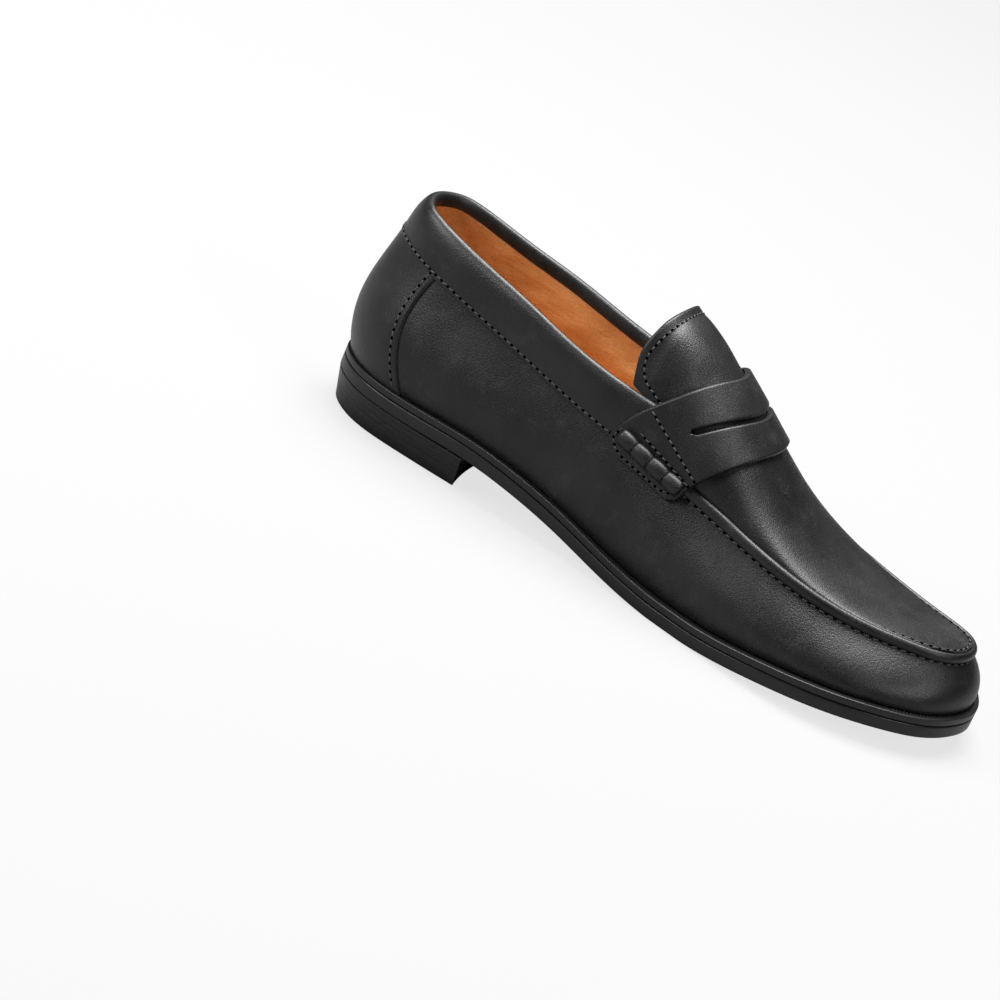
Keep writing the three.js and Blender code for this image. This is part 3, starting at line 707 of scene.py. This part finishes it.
rim = sole["round"]
channel = [(sole["channel"] + side * sole[half], sole["channelDepth"] * deep)
           for side, half, deep in ((-1, "channelHalf", 0), (-1, "channelFloor", 1),
                                    (1, "channelFloor", 1), (1, "channelHalf", 0))]
slab("outsole_body", soleEdge,
     [(12, sole["outsole"])] + arc(rim, sole["outsole"] - rim, rim, 90, 0) + [(0, 2.6)]
     + arc(rim, rim, rim, 0, -90) + [(3, 0)] + channel + [(10, 0), (13.7, 0), (14, recess)],
     "edge", replaces=["outsole"], sharp=50)
weltLow = sole["outsole"] + shoe["gap"]
weltHigh = weltLow + sole["welt"]
ringPiece("welt_rim", soleEdge,
          arc(0.45, weltHigh - 0.35, 0.45, 90, 0) + [(0.05, weltHigh - 1.3)]
          + arc(0.5, weltLow + 0.5, 0.5, 0, -90, 4)
          + [(9, weltLow), (9, weltHigh - 0.4), (5.4, weltHigh - 0.35), (4.1, weltHigh - 0.35),
             (3.7, weltHigh - 0.1), (1.4, weltHigh + 0.1)],
          "edge", replaces=["welt"], sharp=60)


def aroundSole(inset, height, start=0.0, end=2 * pi, count=900):
    theta = linspace(start, end, count)
    s, w = soleEdge.inwards(inset).at(theta)
    return place(s, w, underside(s) + height)


path = aroundSole(2.3, weltHigh + 0.02, pi - sole["wheeled"], pi + sole["wheeled"], 300)
stitches("welt_wheeling", path, tile(upwards, (len(path), 1)), "wrap", pitch=1.5, length=0.9,
         radius=0.34, skew=90, hole=False)
breastTheta = float(soleEdge.theta(sole["stitchedFrom"]))
path = aroundSole(sole["channel"], 0.62, breastTheta, 2 * pi - breastTheta)
stitches("outsole_stitching", path, tile(-upwards, (len(path), 1)), pitch=5.2, length=4.1,
         radius=0.42, hole=False, replaces=["outsole_thread"])

# Tread pad: a plate with a bowed rear edge. Its underside carries rows of small raised dots,
# height = clipped sine along times sine across, and every second row is moved by half a wave.
tread = {"inset": 14, "rear": 150, "bow": 6, "rows": 290, "columns": 150,
         "pitch": 2.1, "relief": 0.55, "rim": 1.6, "clear": 0.15, "thickness": 1.6}


def treadPad():
    outline = soleEdge.inwards(tread["inset"])
    theta = linspace(float(outline.theta(tread["rear"])), pi, tread["rows"])
    t = sin(linspace(-pi / 2, pi / 2, tread["columns"]))
    s, w, half = planGrid(outline, theta, t)
    share = clip((s - tread["rear"]) / (outline.end - tread["rear"]), 0, 1)
    bowed = s - tread["bow"] * (1 - t**2) * (1 - share)
    k = 2 * pi / tread["pitch"]
    across = sin(k * bowed) * sin(k * w * 0.62 + np.floor(bowed / tread["pitch"]) * pi)
    raised = tread["relief"] * clip(0.55 + 0.75 * across, 0, 1)
    edge = clip(minimum(half - np.abs(w), s - tread["rear"]) / tread["rim"], 0, 1)
    low = underside(bowed) + tread["clear"] + (tread["relief"] - raised) * edge
    high = underside(bowed) + tread["thickness"]
    points = [place(bowed, w, z).transpose(1, 0, 2) for z in (high, low)]
    makeMesh("tread_pad", points, shellFaces(tread["columns"], tread["rows"]), "tread", weld=True,
             replaces=["forepart_tread"])


treadPad()

# Heel: tapering lifts with rounded edges, and a top lift in two parts with ribs underneath.
heel = {"breast": 75, "bow": 4, "taper": 3, "top": 6, "lifts": 3, "gap": 0.3, "rear": 27,
        "overlap": 0.14, "rim": 0.07, "rib": 1.25, "ribHeight": 0.45, "rows": 40, "columns": 41}
liftTall = (shoe["heelHeight"] - heel["top"] - (heel["lifts"] + 1) * heel["gap"]) / heel["lifts"]


def heelSlab(name, low, high, start, end, node, bow=heel["bow"]):
    # Rows along and columns across make the lower and upper faces; the side walls go through
    # part of a circle at each edge.
    rim = heel["rim"]
    levels = [(low, rim)] + [(low + rim * (1 - cos(a)), rim * (1 - sin(a)))
                             for a in linspace(0.5, pi / 2, 3)]
    levels += [(low + high - z, inset) for z, inset in levels[::-1]]
    rows = linspace(0, 1, heel["rows"])
    columns = sin(linspace(-pi / 2, pi / 2, heel["columns"]))
    layers = []
    for z, inset in levels:
        outline = soleEdge.inwards(heel["taper"] * (1 - z / shoe["heelHeight"]) + inset)
        first = float(outline.theta(max(start + inset, outline.start + 1e-3)))
        last = float(outline.theta(end - inset))
        theta = first + (last - first) * rows
        s, w, half = planGrid(outline, theta, columns)
        share = clip((s - s[0]) / (s[-1] - s[0]), 0, 1)
        layers.append(place(s - bow * (1 - columns**2) * share, w, z + 0 * s))
    loops = []
    for grid in layers:
        loops.append(concatenate([grid[:, 0], grid[-1, 1:], grid[-2::-1, -1], grid[0, -2:0:-1]]))
    loops = stack(loops, 1)
    n, k = loops.shape[:2]
    face = gridFaces(heel["rows"], heel["columns"])
    lower = face + n * k
    upper = face[:, ::-1] + n * k + heel["rows"] * heel["columns"]
    points = concatenate([part.reshape(-1, 3) for part in (loops, layers[0], layers[-1])])
    makeMesh(name, points, concatenate([gridFaces(n, k, True), lower, upper]), "edge",
             weld=True, sharp=50, replaces=[node])


for k in range(heel["lifts"]):
    low = heel["top"] + heel["gap"] + k * (liftTall + heel["gap"])
    heelSlab(f"heel_stack_{k + 1}", low - heel["overlap"], low + liftTall + heel["overlap"], 0,
             heel["breast"], f"heel_lift_{k + 1}")
topHigh = heel["top"] + heel["overlap"]
heelSlab("top_piece_front", heel["ribHeight"], topHigh, heel["rear"] + 0.03, heel["breast"],
         "top_lift_front")
heelSlab("top_piece_rear", heel["ribHeight"], topHigh, 0, heel["rear"], "top_lift_rear", 0)


def heelRibs(name, start, end, lengthwise):
    # Bars of half-round section under the top lift, cut to an outline 2 mm inside its edge.
    outline = soleEdge.inwards(heel["taper"] + 2.0)
    a = linspace(0, pi, 6)
    bars = []
    if lengthwise:
        for w in arange(-30, 31, heel["rib"]):
            stations = linspace(start + 2, end - 2 - heel["bow"] * 0.8, 60)
            inside = stations[outline.width(stations, np.sign(w) or 1) > abs(w)]
            if len(inside) > 2:
                bars.append([(inside[0], w), (inside[-1], w)])
    else:
        for s in arange(max(start, outline.start + 1.5), end - 1.0, heel["rib"]):
            bars.append([(s, -float(outline.width(s, -1))), (s, float(outline.width(s, 1)))])
    bars = array(bars)
    run = bars[:, 1] - bars[:, 0]
    across = stack([-run[:, 1], run[:, 0]], -1)
    across = across / np.linalg.norm(across, axis=1, keepdims=True) * heel["rib"] * 0.36
    flat = bars[:, :, None] + across[:, None, None] * cos(a)[None, None, :, None]
    z = (heel["ribHeight"] + 0.1) * (1 - sin(a)[None, None]) + 0 * flat[..., 0]
    copies(name, place(flat[..., 0], flat[..., 1], z), "tread")


heelRibs("top_piece_ribs_front", heel["rear"], heel["breast"], True)
heelRibs("top_piece_ribs_rear", 0, heel["rear"], False)
print("sole ready")

vamp = {"turn": 520, "rows": 60, "thickness": 1.3}
theta = linspace(0, 2 * pi, vamp["turn"], endpoint=False)[:, None]
v = linspace(0, 1, vamp["rows"])[None]
p = wall(theta, v)
n = normalOf(wall, theta, v)
makeMesh("vamp_leather", [p, p - n * vamp["thickness"]],
         shellFaces(vamp["turn"], vamp["rows"], True), "calf", replaces=["vamp"])

# Counter: its front edge bows from the welt back and up to the collar.
counter = {"waist": 29.6, "waistAt": 0.65, "foot": 9.5, "thickness": 1.2, "stitchInset": 2.9}


def wallTheta(s, v, side):
    # The angle at which a wall point of height v has the station s: between the angles of the
    # feather line and the seam in the proportion of the Bezier's weights.
    share = 3 * v**2 - 2 * v**3
    return feather.theta(s, side) * (1 - share) + seam.theta(s, side) * share


def counterEdge(v, side, inset=0.0):
    s = counter["waist"] + counter["foot"] * (1 - v / counter["waistAt"])**2 - inset
    return wallTheta(s, v, side)


a, b = np.meshgrid(rimSteps(110, 0.02), linspace(0, 1, 60), indexing="ij")
v = 0.004 + 0.99 * b
left, right = counterEdge(v, -1), counterEdge(v, 1)
patch("counter_leather", wall, left + (right - left) * a, v, counter["thickness"], -0.3, "calf",
      rim=0.9, open="bB", replaces=["counter_patch"])


def counterStitches(name, side):
    v = linspace(0.03, 0.97, 200)
    theta = counterEdge(v, side, counter["stitchInset"])
    n = normalOf(wall, theta, v)
    stitches(name, wall(theta, v) + n * counter["thickness"], n, pitch=3.5, length=2.4)


bySide("counter_stitching", counterStitches)
print("counter ready")

# Collar: one strip, from its raised lower edge over the rolled topline down to the inner binding.
# Its section is given as (out from the band, up it): from the lower edge, as shares of the
# band's height, and from the topline.
u = linspace(-1, 1, 300)
low = collar(u, 0 * u)
high = collar(u, 0 * u + 1)
bandOut = normalOf(collar, u, 0 * u + 0.5)
bandUp = unit(high - low)
tall = np.linalg.norm(high - low, axis=-1)
footEdge = [(0.1, -2.3), (0.9, -2.45), (1.25, -2.2), (1.4, -1.6), (1.38, -0.6), (1.36, 0.6), (1.42, 1.8)]
faceShares = [(1.62, 0.25), (1.85, 0.42), (1.9, 0.58), (1.7, 0.72)]
rollOver = [(1.35, -2.6), (1.0, -1.5), (0.55, -0.5), (-0.1, 0.35), (-0.95, 0.85), (-1.9, 0.85),
            (-2.75, 0.4), (-3.35, -0.4), (-3.7, -1.5), (-3.95, -2.6), (-4.0, -3.5), (-3.95, -4.4),
            (-3.8, -4.8), (-3.5, -5.0), (-3.1, -4.8), (-2.9, -3.8), (-2.5, -2.4), (-1.6, -1.4),
            (-0.6, -1.8), (0.2, -3)]
backShares = [(0.5, 0.6), (0.2, 0.3), (0.1, 0.02)]


def fixedPart(points, base):
    spots = array(points)
    return stack([spots[:, 0] + 0 * base[:, None], spots[:, 1] + base[:, None]], -1)


def sharePart(points):
    spots = array(points)
    return stack([spots[:, 0] + 0 * tall[:, None], spots[:, 1] * tall[:, None]], -1)


section = concatenate([fixedPart(footEdge, 0 * tall), sharePart(faceShares),
                       fixedPart(rollOver, tall), sharePart(backShares)], 1)
rings = low[:, None] + bandOut[:, None] * section[..., :1] + bandUp[:, None] * section[..., 1:]
points, faces = capped(rings)
makeMesh("collar_strip", points, faces, "calf", weld=True, sharp=60,
         replaces=["collar_band", "topline_binding", "topline_bead"])
u = linspace(-0.93, 0.93, 500)
up = unit(collar(u, 0 * u + 1) - collar(u, 0 * u))
n = normalOf(collar, u, 0 * u + 0.5)
path = collar(u, 0 * u) + n * 1.37 + up * -0.55
stitches("collar_stitching", path, n, pitch=3.6, length=2.6, replaces=["collar_thread"])
print("collar ready")

# Linings: one sheet from under the binding down past the seam to the sock, and one round the toe.
lining = {"thickness": 0.9, "deep": 3.5, "thin": 2.7, "turnIn": 4.5, "turnFrom": 0.3,
          "wrinkle": 0.8, "turn": 260, "upperRows": 22, "lowerRows": 44, "toeRows": 34,
          "gripAt": (22, 35), "gripRows": slice(2, 34)}


def liningDepth(s):
    heelSide = clip((104 - s) / 28, 0, 1)
    toeSide = clip((s - 204) / 24, 0, 1)
    return lining["thin"] + (lining["deep"] - lining["thin"]) * maximum(heelSide, toeSide)


def gridNormals(p):
    return unit(cross(np.gradient(p, axis=1), np.gradient(p, axis=0)))


def creases(s, z):
    # Soft wrinkles that run mostly along the shoe: sums of sines at odd angles.
    return (0.22 * sin(0.19 * s + 0.55 * z + 1.3 * sin(0.06 * s))
            + 0.16 * sin(0.31 * s - 0.42 * z + 2.0 * sin(0.045 * s + 0.2 * z))
            + 0.10 * sin(0.75 * s + 0.9 * z + 1.5 * sin(0.11 * z)))


def liningSheet(name, p, s, height, replaces):
    # height is the share up the wall; the sheet turns in over the sock at its foot.
    s = broadcast_to(s, p.shape[:2])
    foot = clip(1 - height / lining["turnFrom"], 0, 1)
    n = gridNormals(p)
    depth = liningDepth(s) + lining["wrinkle"] * creases(s, p[..., 2]) + lining["turnIn"] * foot**1.5
    inner = p - n * depth[..., None]
    outer = p - n * (depth - lining["thickness"])[..., None]
    makeMesh(name, [outer, inner], shellFaces(*p.shape[:2]), "tan", replaces=replaces)
    return inner, -n


u = linspace(-1, 1, lining["turn"])[:, None]
share = 1 - cos(np.abs(u) * pi / 2)
sLow = collarStation(share, "seamEnds")
upper = collar(u, linspace(0.82, 0.02, lining["upperRows"])[None])
down = linspace(0.98, 0.08, lining["lowerRows"])[None]
lower = wall(seam.theta(sLow, where(u < 0, -1, 1)), down)
height = concatenate([np.ones((1, lining["upperRows"])), down], 1)
liningSkin, liningUp = liningSheet("quarter_lining", concatenate([upper, lower], 1), sLow, height,
                                   ["collar_lining", "heel_grip"])
first = float(seam.theta(shoe["collarReach"] - 1.5))
theta = linspace(first, 2 * pi - first, lining["turn"])[:, None]
down = linspace(0.97, 0.08, lining["toeRows"])[None]
liningSheet("vamp_lining", wall(theta, down), seam.at(theta)[0], down, ["wall_lining"])


def gripStitches(name, side, station):
    # A dotted line down the inside of the quarter.
    onSide = where(side * u[:, 0] > 0, sLow[:, 0], np.inf)
    spots = int(np.argmin(np.abs(station - onSide))), lining["gripRows"]
    stitches(name, liningSkin[spots], liningUp[spots], "tanThread", pitch=3.0, length=1.5,
             radius=0.24, skew=0, hole=False)


for number, station in enumerate(lining["gripAt"], 1):
    gripStitches(f"grip_stitching_inner_{number}", -1, station)
    gripStitches(f"grip_stitching_outer_{number}", 1, station)
sock = {"inset": 4.9, "board": 2.0}
sockBase = weltHigh + sock["board"] + 2 * shoe["gap"]
slab("sock_leather", feather.inwards(sock["inset"]),
     [(9, sockBase + 1.3), (4, sockBase + 1.35), (1.6, sockBase + 1.5)]
     + arc(0.5, sockBase + 0.9, 0.5, 90, 0) + [(0, sockBase + 0.2), (6, sockBase)],
     "tan", turn=240, replaces=["sock_liner"])
print("lining ready")

# Plug, and the raised ridge along the moccasin seam.
plug = {"narrow": 1.9, "base": 3.4, "start": 157, "thickness": 1.3, "stand": 0.35,
        "columns": 121, "rows": 130}


def plugSurface(phi, s):
    return dome(phi, s, plug["narrow"], plug["base"])


plugEnd = shoe["seamEnds"][1] - plug["narrow"]
a, b = np.meshgrid(linspace(-pi / 2, pi / 2, plug["columns"]), linspace(0, pi / 2, plug["rows"]),
                   indexing="ij")
patch("plug_leather", plugSurface, a, plug["start"] + (plugEnd - 0.25 - plug["start"]) * sin(b),
      plug["stand"], plug["stand"] - plug["thickness"], "calf", open="aAbB", replaces=["apron"])

ridge = {"start": 158.0, "turn": 420, "pitch": 3.9, "length": 2.7, "upper": 3.87}
first = float(seam.theta(ridge["start"]))
theta = linspace(first, 2 * pi - first, ridge["turn"])


def seamFrame(theta):
    s, w = seam.at(theta)
    return place(s, w, seamHeight(s)), seam.outward(theta)


ridgePath, ridgeOut = seamFrame(theta)
fade = 0.85 + 0.15 * clip((shoe["seamEnds"][1] - seam.at(theta)[0]) / 60, 0, 1)[:, None, None]
ridgeSection = array([(0.0, -0.5), (0.55, -0.1), (0.8, 0.5), (0.98, 1.4), (0.95, 2.4), (0.62, 3.3),
                      (0.05, 3.95), (-0.7, 4.3), (-1.45, 4.3), (-2.1, 3.95), (-2.45, 3.4),
                      (-2.5, 2.6), (-2.1, 1.2), (-1.0, -0.2)])
sweep("plug_ridge_roll", ridgePath, ridgeOut, tile(upwards, (len(theta), 1)),
      ridgeSection * fade, "calf", sharp=70, replaces=["plug_ridge"])
theta = linspace(first + 0.04, 2 * pi - first - 0.04, 900)
path, out = seamFrame(theta)
up = unit(out + upwards * 0.25)
# Its needle holes get larger flat discs of painted shade.
stitches("ridge_stitching_lower", path + out * 0.42 - upwards * 0.55, up, pitch=ridge["pitch"],
         length=ridge["length"], radius=0.34, holeRadius=0.72, replaces=["ridge_thread"])
theta = linspace(first + 0.06, 2 * pi - first - 0.06, 900)
path, out = seamFrame(theta)
stitches("ridge_stitching_upper", path - out * 3.1 + upwards * ridge["upper"],
         unit(upwards + out * 0.35), pitch=ridge["pitch"], length=ridge["length"], radius=0.26)
print("plug ready")

# Saddle strap: two bands that part round an eye-shaped slit on the crown, and a tab on each wall.
strap = {
    "rear": [156.7, 155.2, 152.1, 147.9, 142.4, 135, 127],
    "front": [183.8, 182.9, 181, 178.2, 174.4, 169.8, 165],
    "thickness": 2.2, "stand": 0.6, "liftRear": 0.15, "liftFront": 0.2,
    "tab": 0.175, "tabCorner": 6.5, "slitEnd": 61, "slitAt": 0.455, "slitCrown": 0.53,
    "slitHalf": (0.95, 0.6), "slitRound": 0.04,
}


def mirrored(values, reach):
    curve = spline(list(values[:0:-1]) + list(values))
    return lambda phi: curve((clip(np.asarray(phi) / reach, -1, 1) + 1) * (len(values) - 1))


rearOnDome = mirrored(strap["rear"], pi / 2)
frontOnDome = mirrored(strap["front"], pi / 2)


def tabShare(phi):
    return clip((np.abs(phi) - pi / 2) / strap["tab"], 0, 1)


def tabRound(phi):
    return strap["tabCorner"] * (1 - sqrt(1 - tabShare(phi)**2))


def strapRear(phi):
    return rearOnDome(phi) + tabRound(phi)


def strapFront(phi):
    return frontOnDome(phi) - tabRound(phi)


def strapFloor(phi, t):
    return strap["stand"] + maximum(cos(phi), 0)**2 * (
        strap["liftRear"] + (strap["liftFront"] - strap["liftRear"]) * t) - 0.5 * tabShare(phi)


def onStrap(phi, t):
    # A point on the strap's top face, and the way off it.
    s = strapRear(phi) + (strapFront(phi) - strapRear(phi)) * t
    n = overNormal(phi, s)
    tall = strapFloor(phi, t) + strap["thickness"]
    return over(phi, s) + n * tall[..., None], n


def strapBand(name, front, replaces):
    end = radians(strap["slitEnd"])
    outerPart = linspace(0, 1, 50)
    reach = pi / 2 + strap["tab"]
    sideways = end + (reach - end) * (1 - (1 - outerPart[1:])**1.5)
    steps = linspace(-1, 1, 141)
    middle = end * np.sign(steps) * (1 - (1 - np.abs(steps))**1.7)
    phi = concatenate([-sideways[::-1], middle, sideways])[:, None]
    b = rimSteps(22, 0.09, 7)[None]
    share = clip(1 - (np.abs(phi) / end)**2, 0, 1)
    centre = strap["slitAt"] + (strap["slitCrown"] - strap["slitAt"]) * share
    rounding = clip(1 - (end - np.abs(phi)) / strap["slitRound"], 0, 1)
    half = strap["slitHalf"][0] + (strap["slitHalf"][1] - strap["slitHalf"][0]) * share
    half = half * sqrt(1 - rounding**2) / (strapFront(phi) - strapRear(phi))
    t = centre + half + (1 - centre - half) * b if front else (centre - half) * b
    phi = broadcast_to(phi, t.shape)

    def slitRim(fromB, toB):
        past = maximum(np.abs(phi) - end, 0) * 38
        near = fromB if front else toB
        return hypot(past, near)

    s = strapRear(phi) + (strapFront(phi) - strapRear(phi)) * t
    floor = strapFloor(phi, t)
    patch(name, over, phi, s, floor + strap["thickness"], floor, "strapCalf", rim=1.1,
          open="b" if front else "B", normals=overNormal, edge=slitRim, replaces=replaces)


strapBand("saddle_strap_rear", False, ["saddle_strap"])
strapBand("saddle_strap_front", True, ["strap_tab_outer", "strap_tab_inner"])


def strapLine(points, side, count=160):
    # A line through (angle in degrees, share across) points on the strap's top face.
    spots = array(points, float)
    run = linspace(0, len(spots) - 1, count)
    phi = radians(interp(run, arange(len(spots)), spots[:, 0])) * side
    t = interp(run, arange(len(spots)), spots[:, 1])
    return onStrap(phi, t)


def strapStitches(name, side):
    path, up = strapLine([(70.5, 0.04), (74.3, 0.5), (79.2, 0.965)], side)
    stitches(name + "_base", path, up, pitch=3.2, length=2.3, radius=0.3)
    path, up = strapLine([(82.2, 0.2), (83.0, 0.6), (84.2, 0.975)], side)
    stitches(name + "_roll", path, up, pitch=3.2, length=2.3, radius=0.28)
    path, up = strapLine([(85.5, 0.06), (91, 0.065), (95.6, 0.11), (97.4, 0.2), (97.8, 0.5), (97.8, 0.8),
                          (96, 0.885), (92.5, 0.94)], side)
    stitches(name + "_tab", path, up, pitch=3.0, length=2.1, radius=0.28)


bySide("strap_stitching", strapStitches)

roll = {"rear": 0.10, "front": 0.975, "radius": 3.5, "flat": 0.78, "bulges": 4, "angle": (87.6, 88.6),
        "sink": 0.45, "wrap": 0.3}


def rollPath(t, side):
    share = (t - roll["rear"]) / (roll["front"] - roll["rear"])
    phi = radians(roll["angle"][0] + (roll["angle"][1] - roll["angle"][0]) * share) * side
    point, up = onStrap(phi, t)
    return point + up * (roll["radius"] * roll["flat"] - roll["sink"]), up


def beefRoll(name, side):
    x = linspace(0, 1, 121)
    path, up = rollPath(roll["rear"] + (roll["front"] - roll["rear"]) * x, side)
    across = cross(np.gradient(path, axis=0), up)
    bulge = np.abs(sin(x * roll["bulges"] * pi))**0.5
    ends = sqrt(clip(1 - clip(1 - minimum(x, 1 - x) / 0.05, 0, 1)**2, 0, 1))
    radius = (0.74 + 0.26 * bulge) * (0.25 + 0.75 * ends) * roll["radius"]
    ring = circle(1, 28, roll["flat"])[None] * radius[:, None, None]
    sweep("beef_roll_leather_" + name.split("_")[-1], path, up, across, ring, "strapCalf",
          replaces=[name])
    # Pairs of cord round the roll between its bulges.
    wraps = []
    turns = linspace(0, 2 * pi, 25)
    for k in range(roll["bulges"] + 1):
        for shift in (-0.011, 0.011):
            at = clip(k / roll["bulges"] + shift, 0.022, 0.978)
            spot = array([at - 0.01, at, at + 0.01])
            centre, off = rollPath(roll["rear"] + (roll["front"] - roll["rear"]) * spot, side)
            run = unit(centre[2] - centre[0])
            off = unit(off[1] - run * (off[1] @ run))
            wide = cross(run, off)
            size = roll["radius"] * (0.80 if 0.05 < at < 0.95 else 0.62)
            loop = (centre[1] + off * (cos(turns) * size * roll["flat"])[:, None]
                    + wide * (sin(turns) * size)[:, None])
            out = off * cos(turns)[:, None] + wide * sin(turns)[:, None]
            wraps.append(ringsAlong(loop, out, tile(run, (25, 1)), circle(roll["wrap"], 6)))
    copies("roll_wraps_" + name.split("_")[-1], array(wraps), "wrap")


bySide("beef_roll", beefRoll)
print("strap ready")

# Tongue: a flap that rises from under the strap, cut square with rounded corners.
tongue = {"rear": [124.9, 124.5, 123.5, 122.4, 121.9, 125.5], "reach": radians(75),
          "front": 172, "narrow": 3.6, "full": 0.5, "drop": 0.4, "tall": 0.9, "floor": -0.9,
          "sag": 4.2, "stitchInset": 3.6, "inset": 1.1, "bend": (159, 151)}
tongueRear = mirrored(tongue["rear"], tongue["reach"])


def tongueSurface(phi, s):
    full = tongue["full"] * clip((150 - s) / 18, 0, 1)
    p = dome(phi, s, tongue["narrow"], 0, tongue["drop"], full)
    sag = tongue["sag"] * clip((150 - s) / 22, 0, 1)**2 * maximum(cos(phi), 0)
    return p - sag[..., None] * array([0, 0.3, 1.0])


def tongueNormal(phi, s):
    return normalOf(tongueSurface, phi, s, 0.03, 0.5)


tongueBlend = tuple((0, (originY - s) / 1000, 0.09) for s in tongue["bend"])
phi = linspace(-1, 1, 141)[:, None] * tongue["reach"]
s = tongueRear(phi) + (tongue["front"] - tongueRear(phi)) * rimSteps(46, 0.05, 7)[None]
phi = broadcast_to(phi, s.shape)
patch("tongue_leather", tongueSurface, phi, s, tongue["tall"], tongue["floor"] + 0.15, "calf",
      rim=0.85, open="B", normals=tongueNormal, replaces=["tongue"], blendAt=tongueBlend)
under = s + tongue["inset"] * (tongue["front"] - s) / 40
patch("tongue_underlay", tongueSurface, phi * 0.96, under, tongue["floor"], tongue["floor"] - 0.9,
      "tan", open="aAbB", normals=tongueNormal, replaces=["tongue_lining"], blendAt=tongueBlend)


def tongueLine():
    # Parallel to the flap's edge: up one side, round the corner and across.
    cut = linspace(-1, 1, 240)
    phi = cut * (tongue["reach"] - 0.11)
    corner = clip((np.abs(cut) - 0.86) / 0.14, 0, 1)
    s = tongueRear(phi) + tongue["stitchInset"] + 5 * (1 - sqrt(1 - corner**2))
    phi = concatenate([np.full(39, phi[0]), phi, np.full(39, phi[-1])])
    s = concatenate([linspace(149, s[0], 40)[:-1], s, linspace(s[-1], 149, 40)[1:]])
    n = tongueNormal(phi, s)
    return tongueSurface(phi, s) + n * tongue["tall"], n


path, up = tongueLine()
stitches("tongue_stitching", path, up, pitch=3.1, length=2.1, body="tongue_flap")
print("tongue ready")

# CAD pieces that stay inside the shoe, with finer finishes.
stay = {"cork_filler": "cork", "waist_filler": "fibre", "insole_board": "fibre", "shank": "steel",
        "counter_stiffener": "fibre", "toe_puff": "fibre", "apron_lining": "tan"}
stay.update({f"heel_pin_{k}": "steel" for k in range(1, 5)})
for node, finish in stay.items():
    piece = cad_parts[node]
    piece.data.materials.clear()
    piece.data.materials.append(finishes[finish])

stage = {"floor": 4.0, "tone": (0.07, 0.07, 0.07, 1), "glow": 0.74, "bounce": (0.22, 0.22, 0.22, 1),
         "ambient": 0.08, "backdrop": 0.95}
floorData = bpy.data.meshes.new("floor")
half = stage["floor"]
floorData.from_pydata([(-half, -half, 0), (half, -half, 0), (half, half, 0), (-half, half, 0)], [],
                      [(0, 1, 2, 3)])
floor = addObject("floor", floorData)
# The floor gives back less light than it shows, as if dark cards lay round the shoe.
floorPaint = Finish("studio_floor", Base_Color=stage["tone"], Roughness=0.9, Specular_IOR_Level=0.1,
                    Emission_Color=(1, 1, 1, 1), Emission_Strength=stage["glow"])
dim = floorPaint.node("ShaderNodeBsdfDiffuse", Color=stage["bounce"])
seenDirectly = floorPaint.node("ShaderNodeLightPath").outputs["Is Camera Ray"]
floorMix = floorPaint.node("ShaderNodeMixShader", Fac=seenDirectly)
floorPaint.tree.links.new(dim.outputs[0], floorMix.inputs[1])
floorPaint.tree.links.new(floorPaint.shader.outputs[0], floorMix.inputs[2])
floorPaint.tree.links.new(floorMix.outputs[0], floorPaint.tree.nodes["Material Output"].inputs[0])
floorData.materials.append(floorPaint.material)


def softbox(name, spot, aim, size, power):
    data = bpy.data.lights.new(name, "AREA")
    data.shape = "RECTANGLE"
    data.size, data.size_y = size
    data.energy = power
    lamp = addObject(name, data)
    lamp.location = spot
    lamp.rotation_euler = (Vector(aim) - Vector(spot)).to_track_quat("-Z", "Y").to_euler()


# Name, place, aim, size and power of each.
for box in (("overhead", (0.35, 0.25, 1.5), (0.1, 0.05, 0), (1.1, 1.1), 78),
            ("heel_side", (-0.75, 0.95, 0.75), (0, 0.05, 0.05), (0.8, 0.5), 15),
            ("toe_side", (-0.5, -1.2, 0.9), (0, -0.05, 0.05), (0.7, 0.5), 8)):
    softbox(*box)
world = bpy.data.worlds.new("studio")
world.use_nodes = True
tree = world.node_tree
blend = tree.nodes.new("ShaderNodeMixShader")
# Dim for everything but the camera, which sees a bright backdrop.
for slot, (node, strength) in enumerate(((tree.nodes["Background"], stage["ambient"]),
                                         (tree.nodes.new("ShaderNodeBackground"), stage["backdrop"]))):
    node.inputs[0].default_value = (1, 1, 1, 1)
    node.inputs[1].default_value = strength
    tree.links.new(node.outputs[0], blend.inputs[slot + 1])
tree.links.new(tree.nodes.new("ShaderNodeLightPath").outputs["Is Camera Ray"], blend.inputs[0])
tree.links.new(blend.outputs[0], tree.nodes["World Output"].inputs[0])
bpy.context.scene.world = world

view = {"azimuth": -72.36, "elevation": 22.87, "roll": 23.52, "distance": 1.5,
        "target": (-0.03246, 0.05162, 0.00622), "lens": 134.73, "sensor": 36, "far": 20}
a, e, r = radians([view["azimuth"], view["elevation"], view["roll"]])
back = Vector((sin(a) * cos(e), -cos(a) * cos(e), sin(e)))
right = Vector((0, 0, 1)).cross(back).normalized()
up = back.cross(right)
rolledRight = right * cos(r) + up * sin(r)
rolledUp = up * cos(r) - right * sin(r)
cameraData = bpy.data.cameras.new("camera")
cameraData.lens = view["lens"]
cameraData.sensor_width = view["sensor"]
cameraData.clip_end = view["far"]
camera = addObject("camera", cameraData)
turned = Matrix((rolledRight, rolledUp, back)).transposed().to_4x4()
camera.matrix_world = Matrix.Translation(Vector(view["target"]) + back * view["distance"]) @ turned
bpy.context.scene.camera = camera
bpy.context.scene.view_settings.view_transform = "Standard"
print("stage ready")
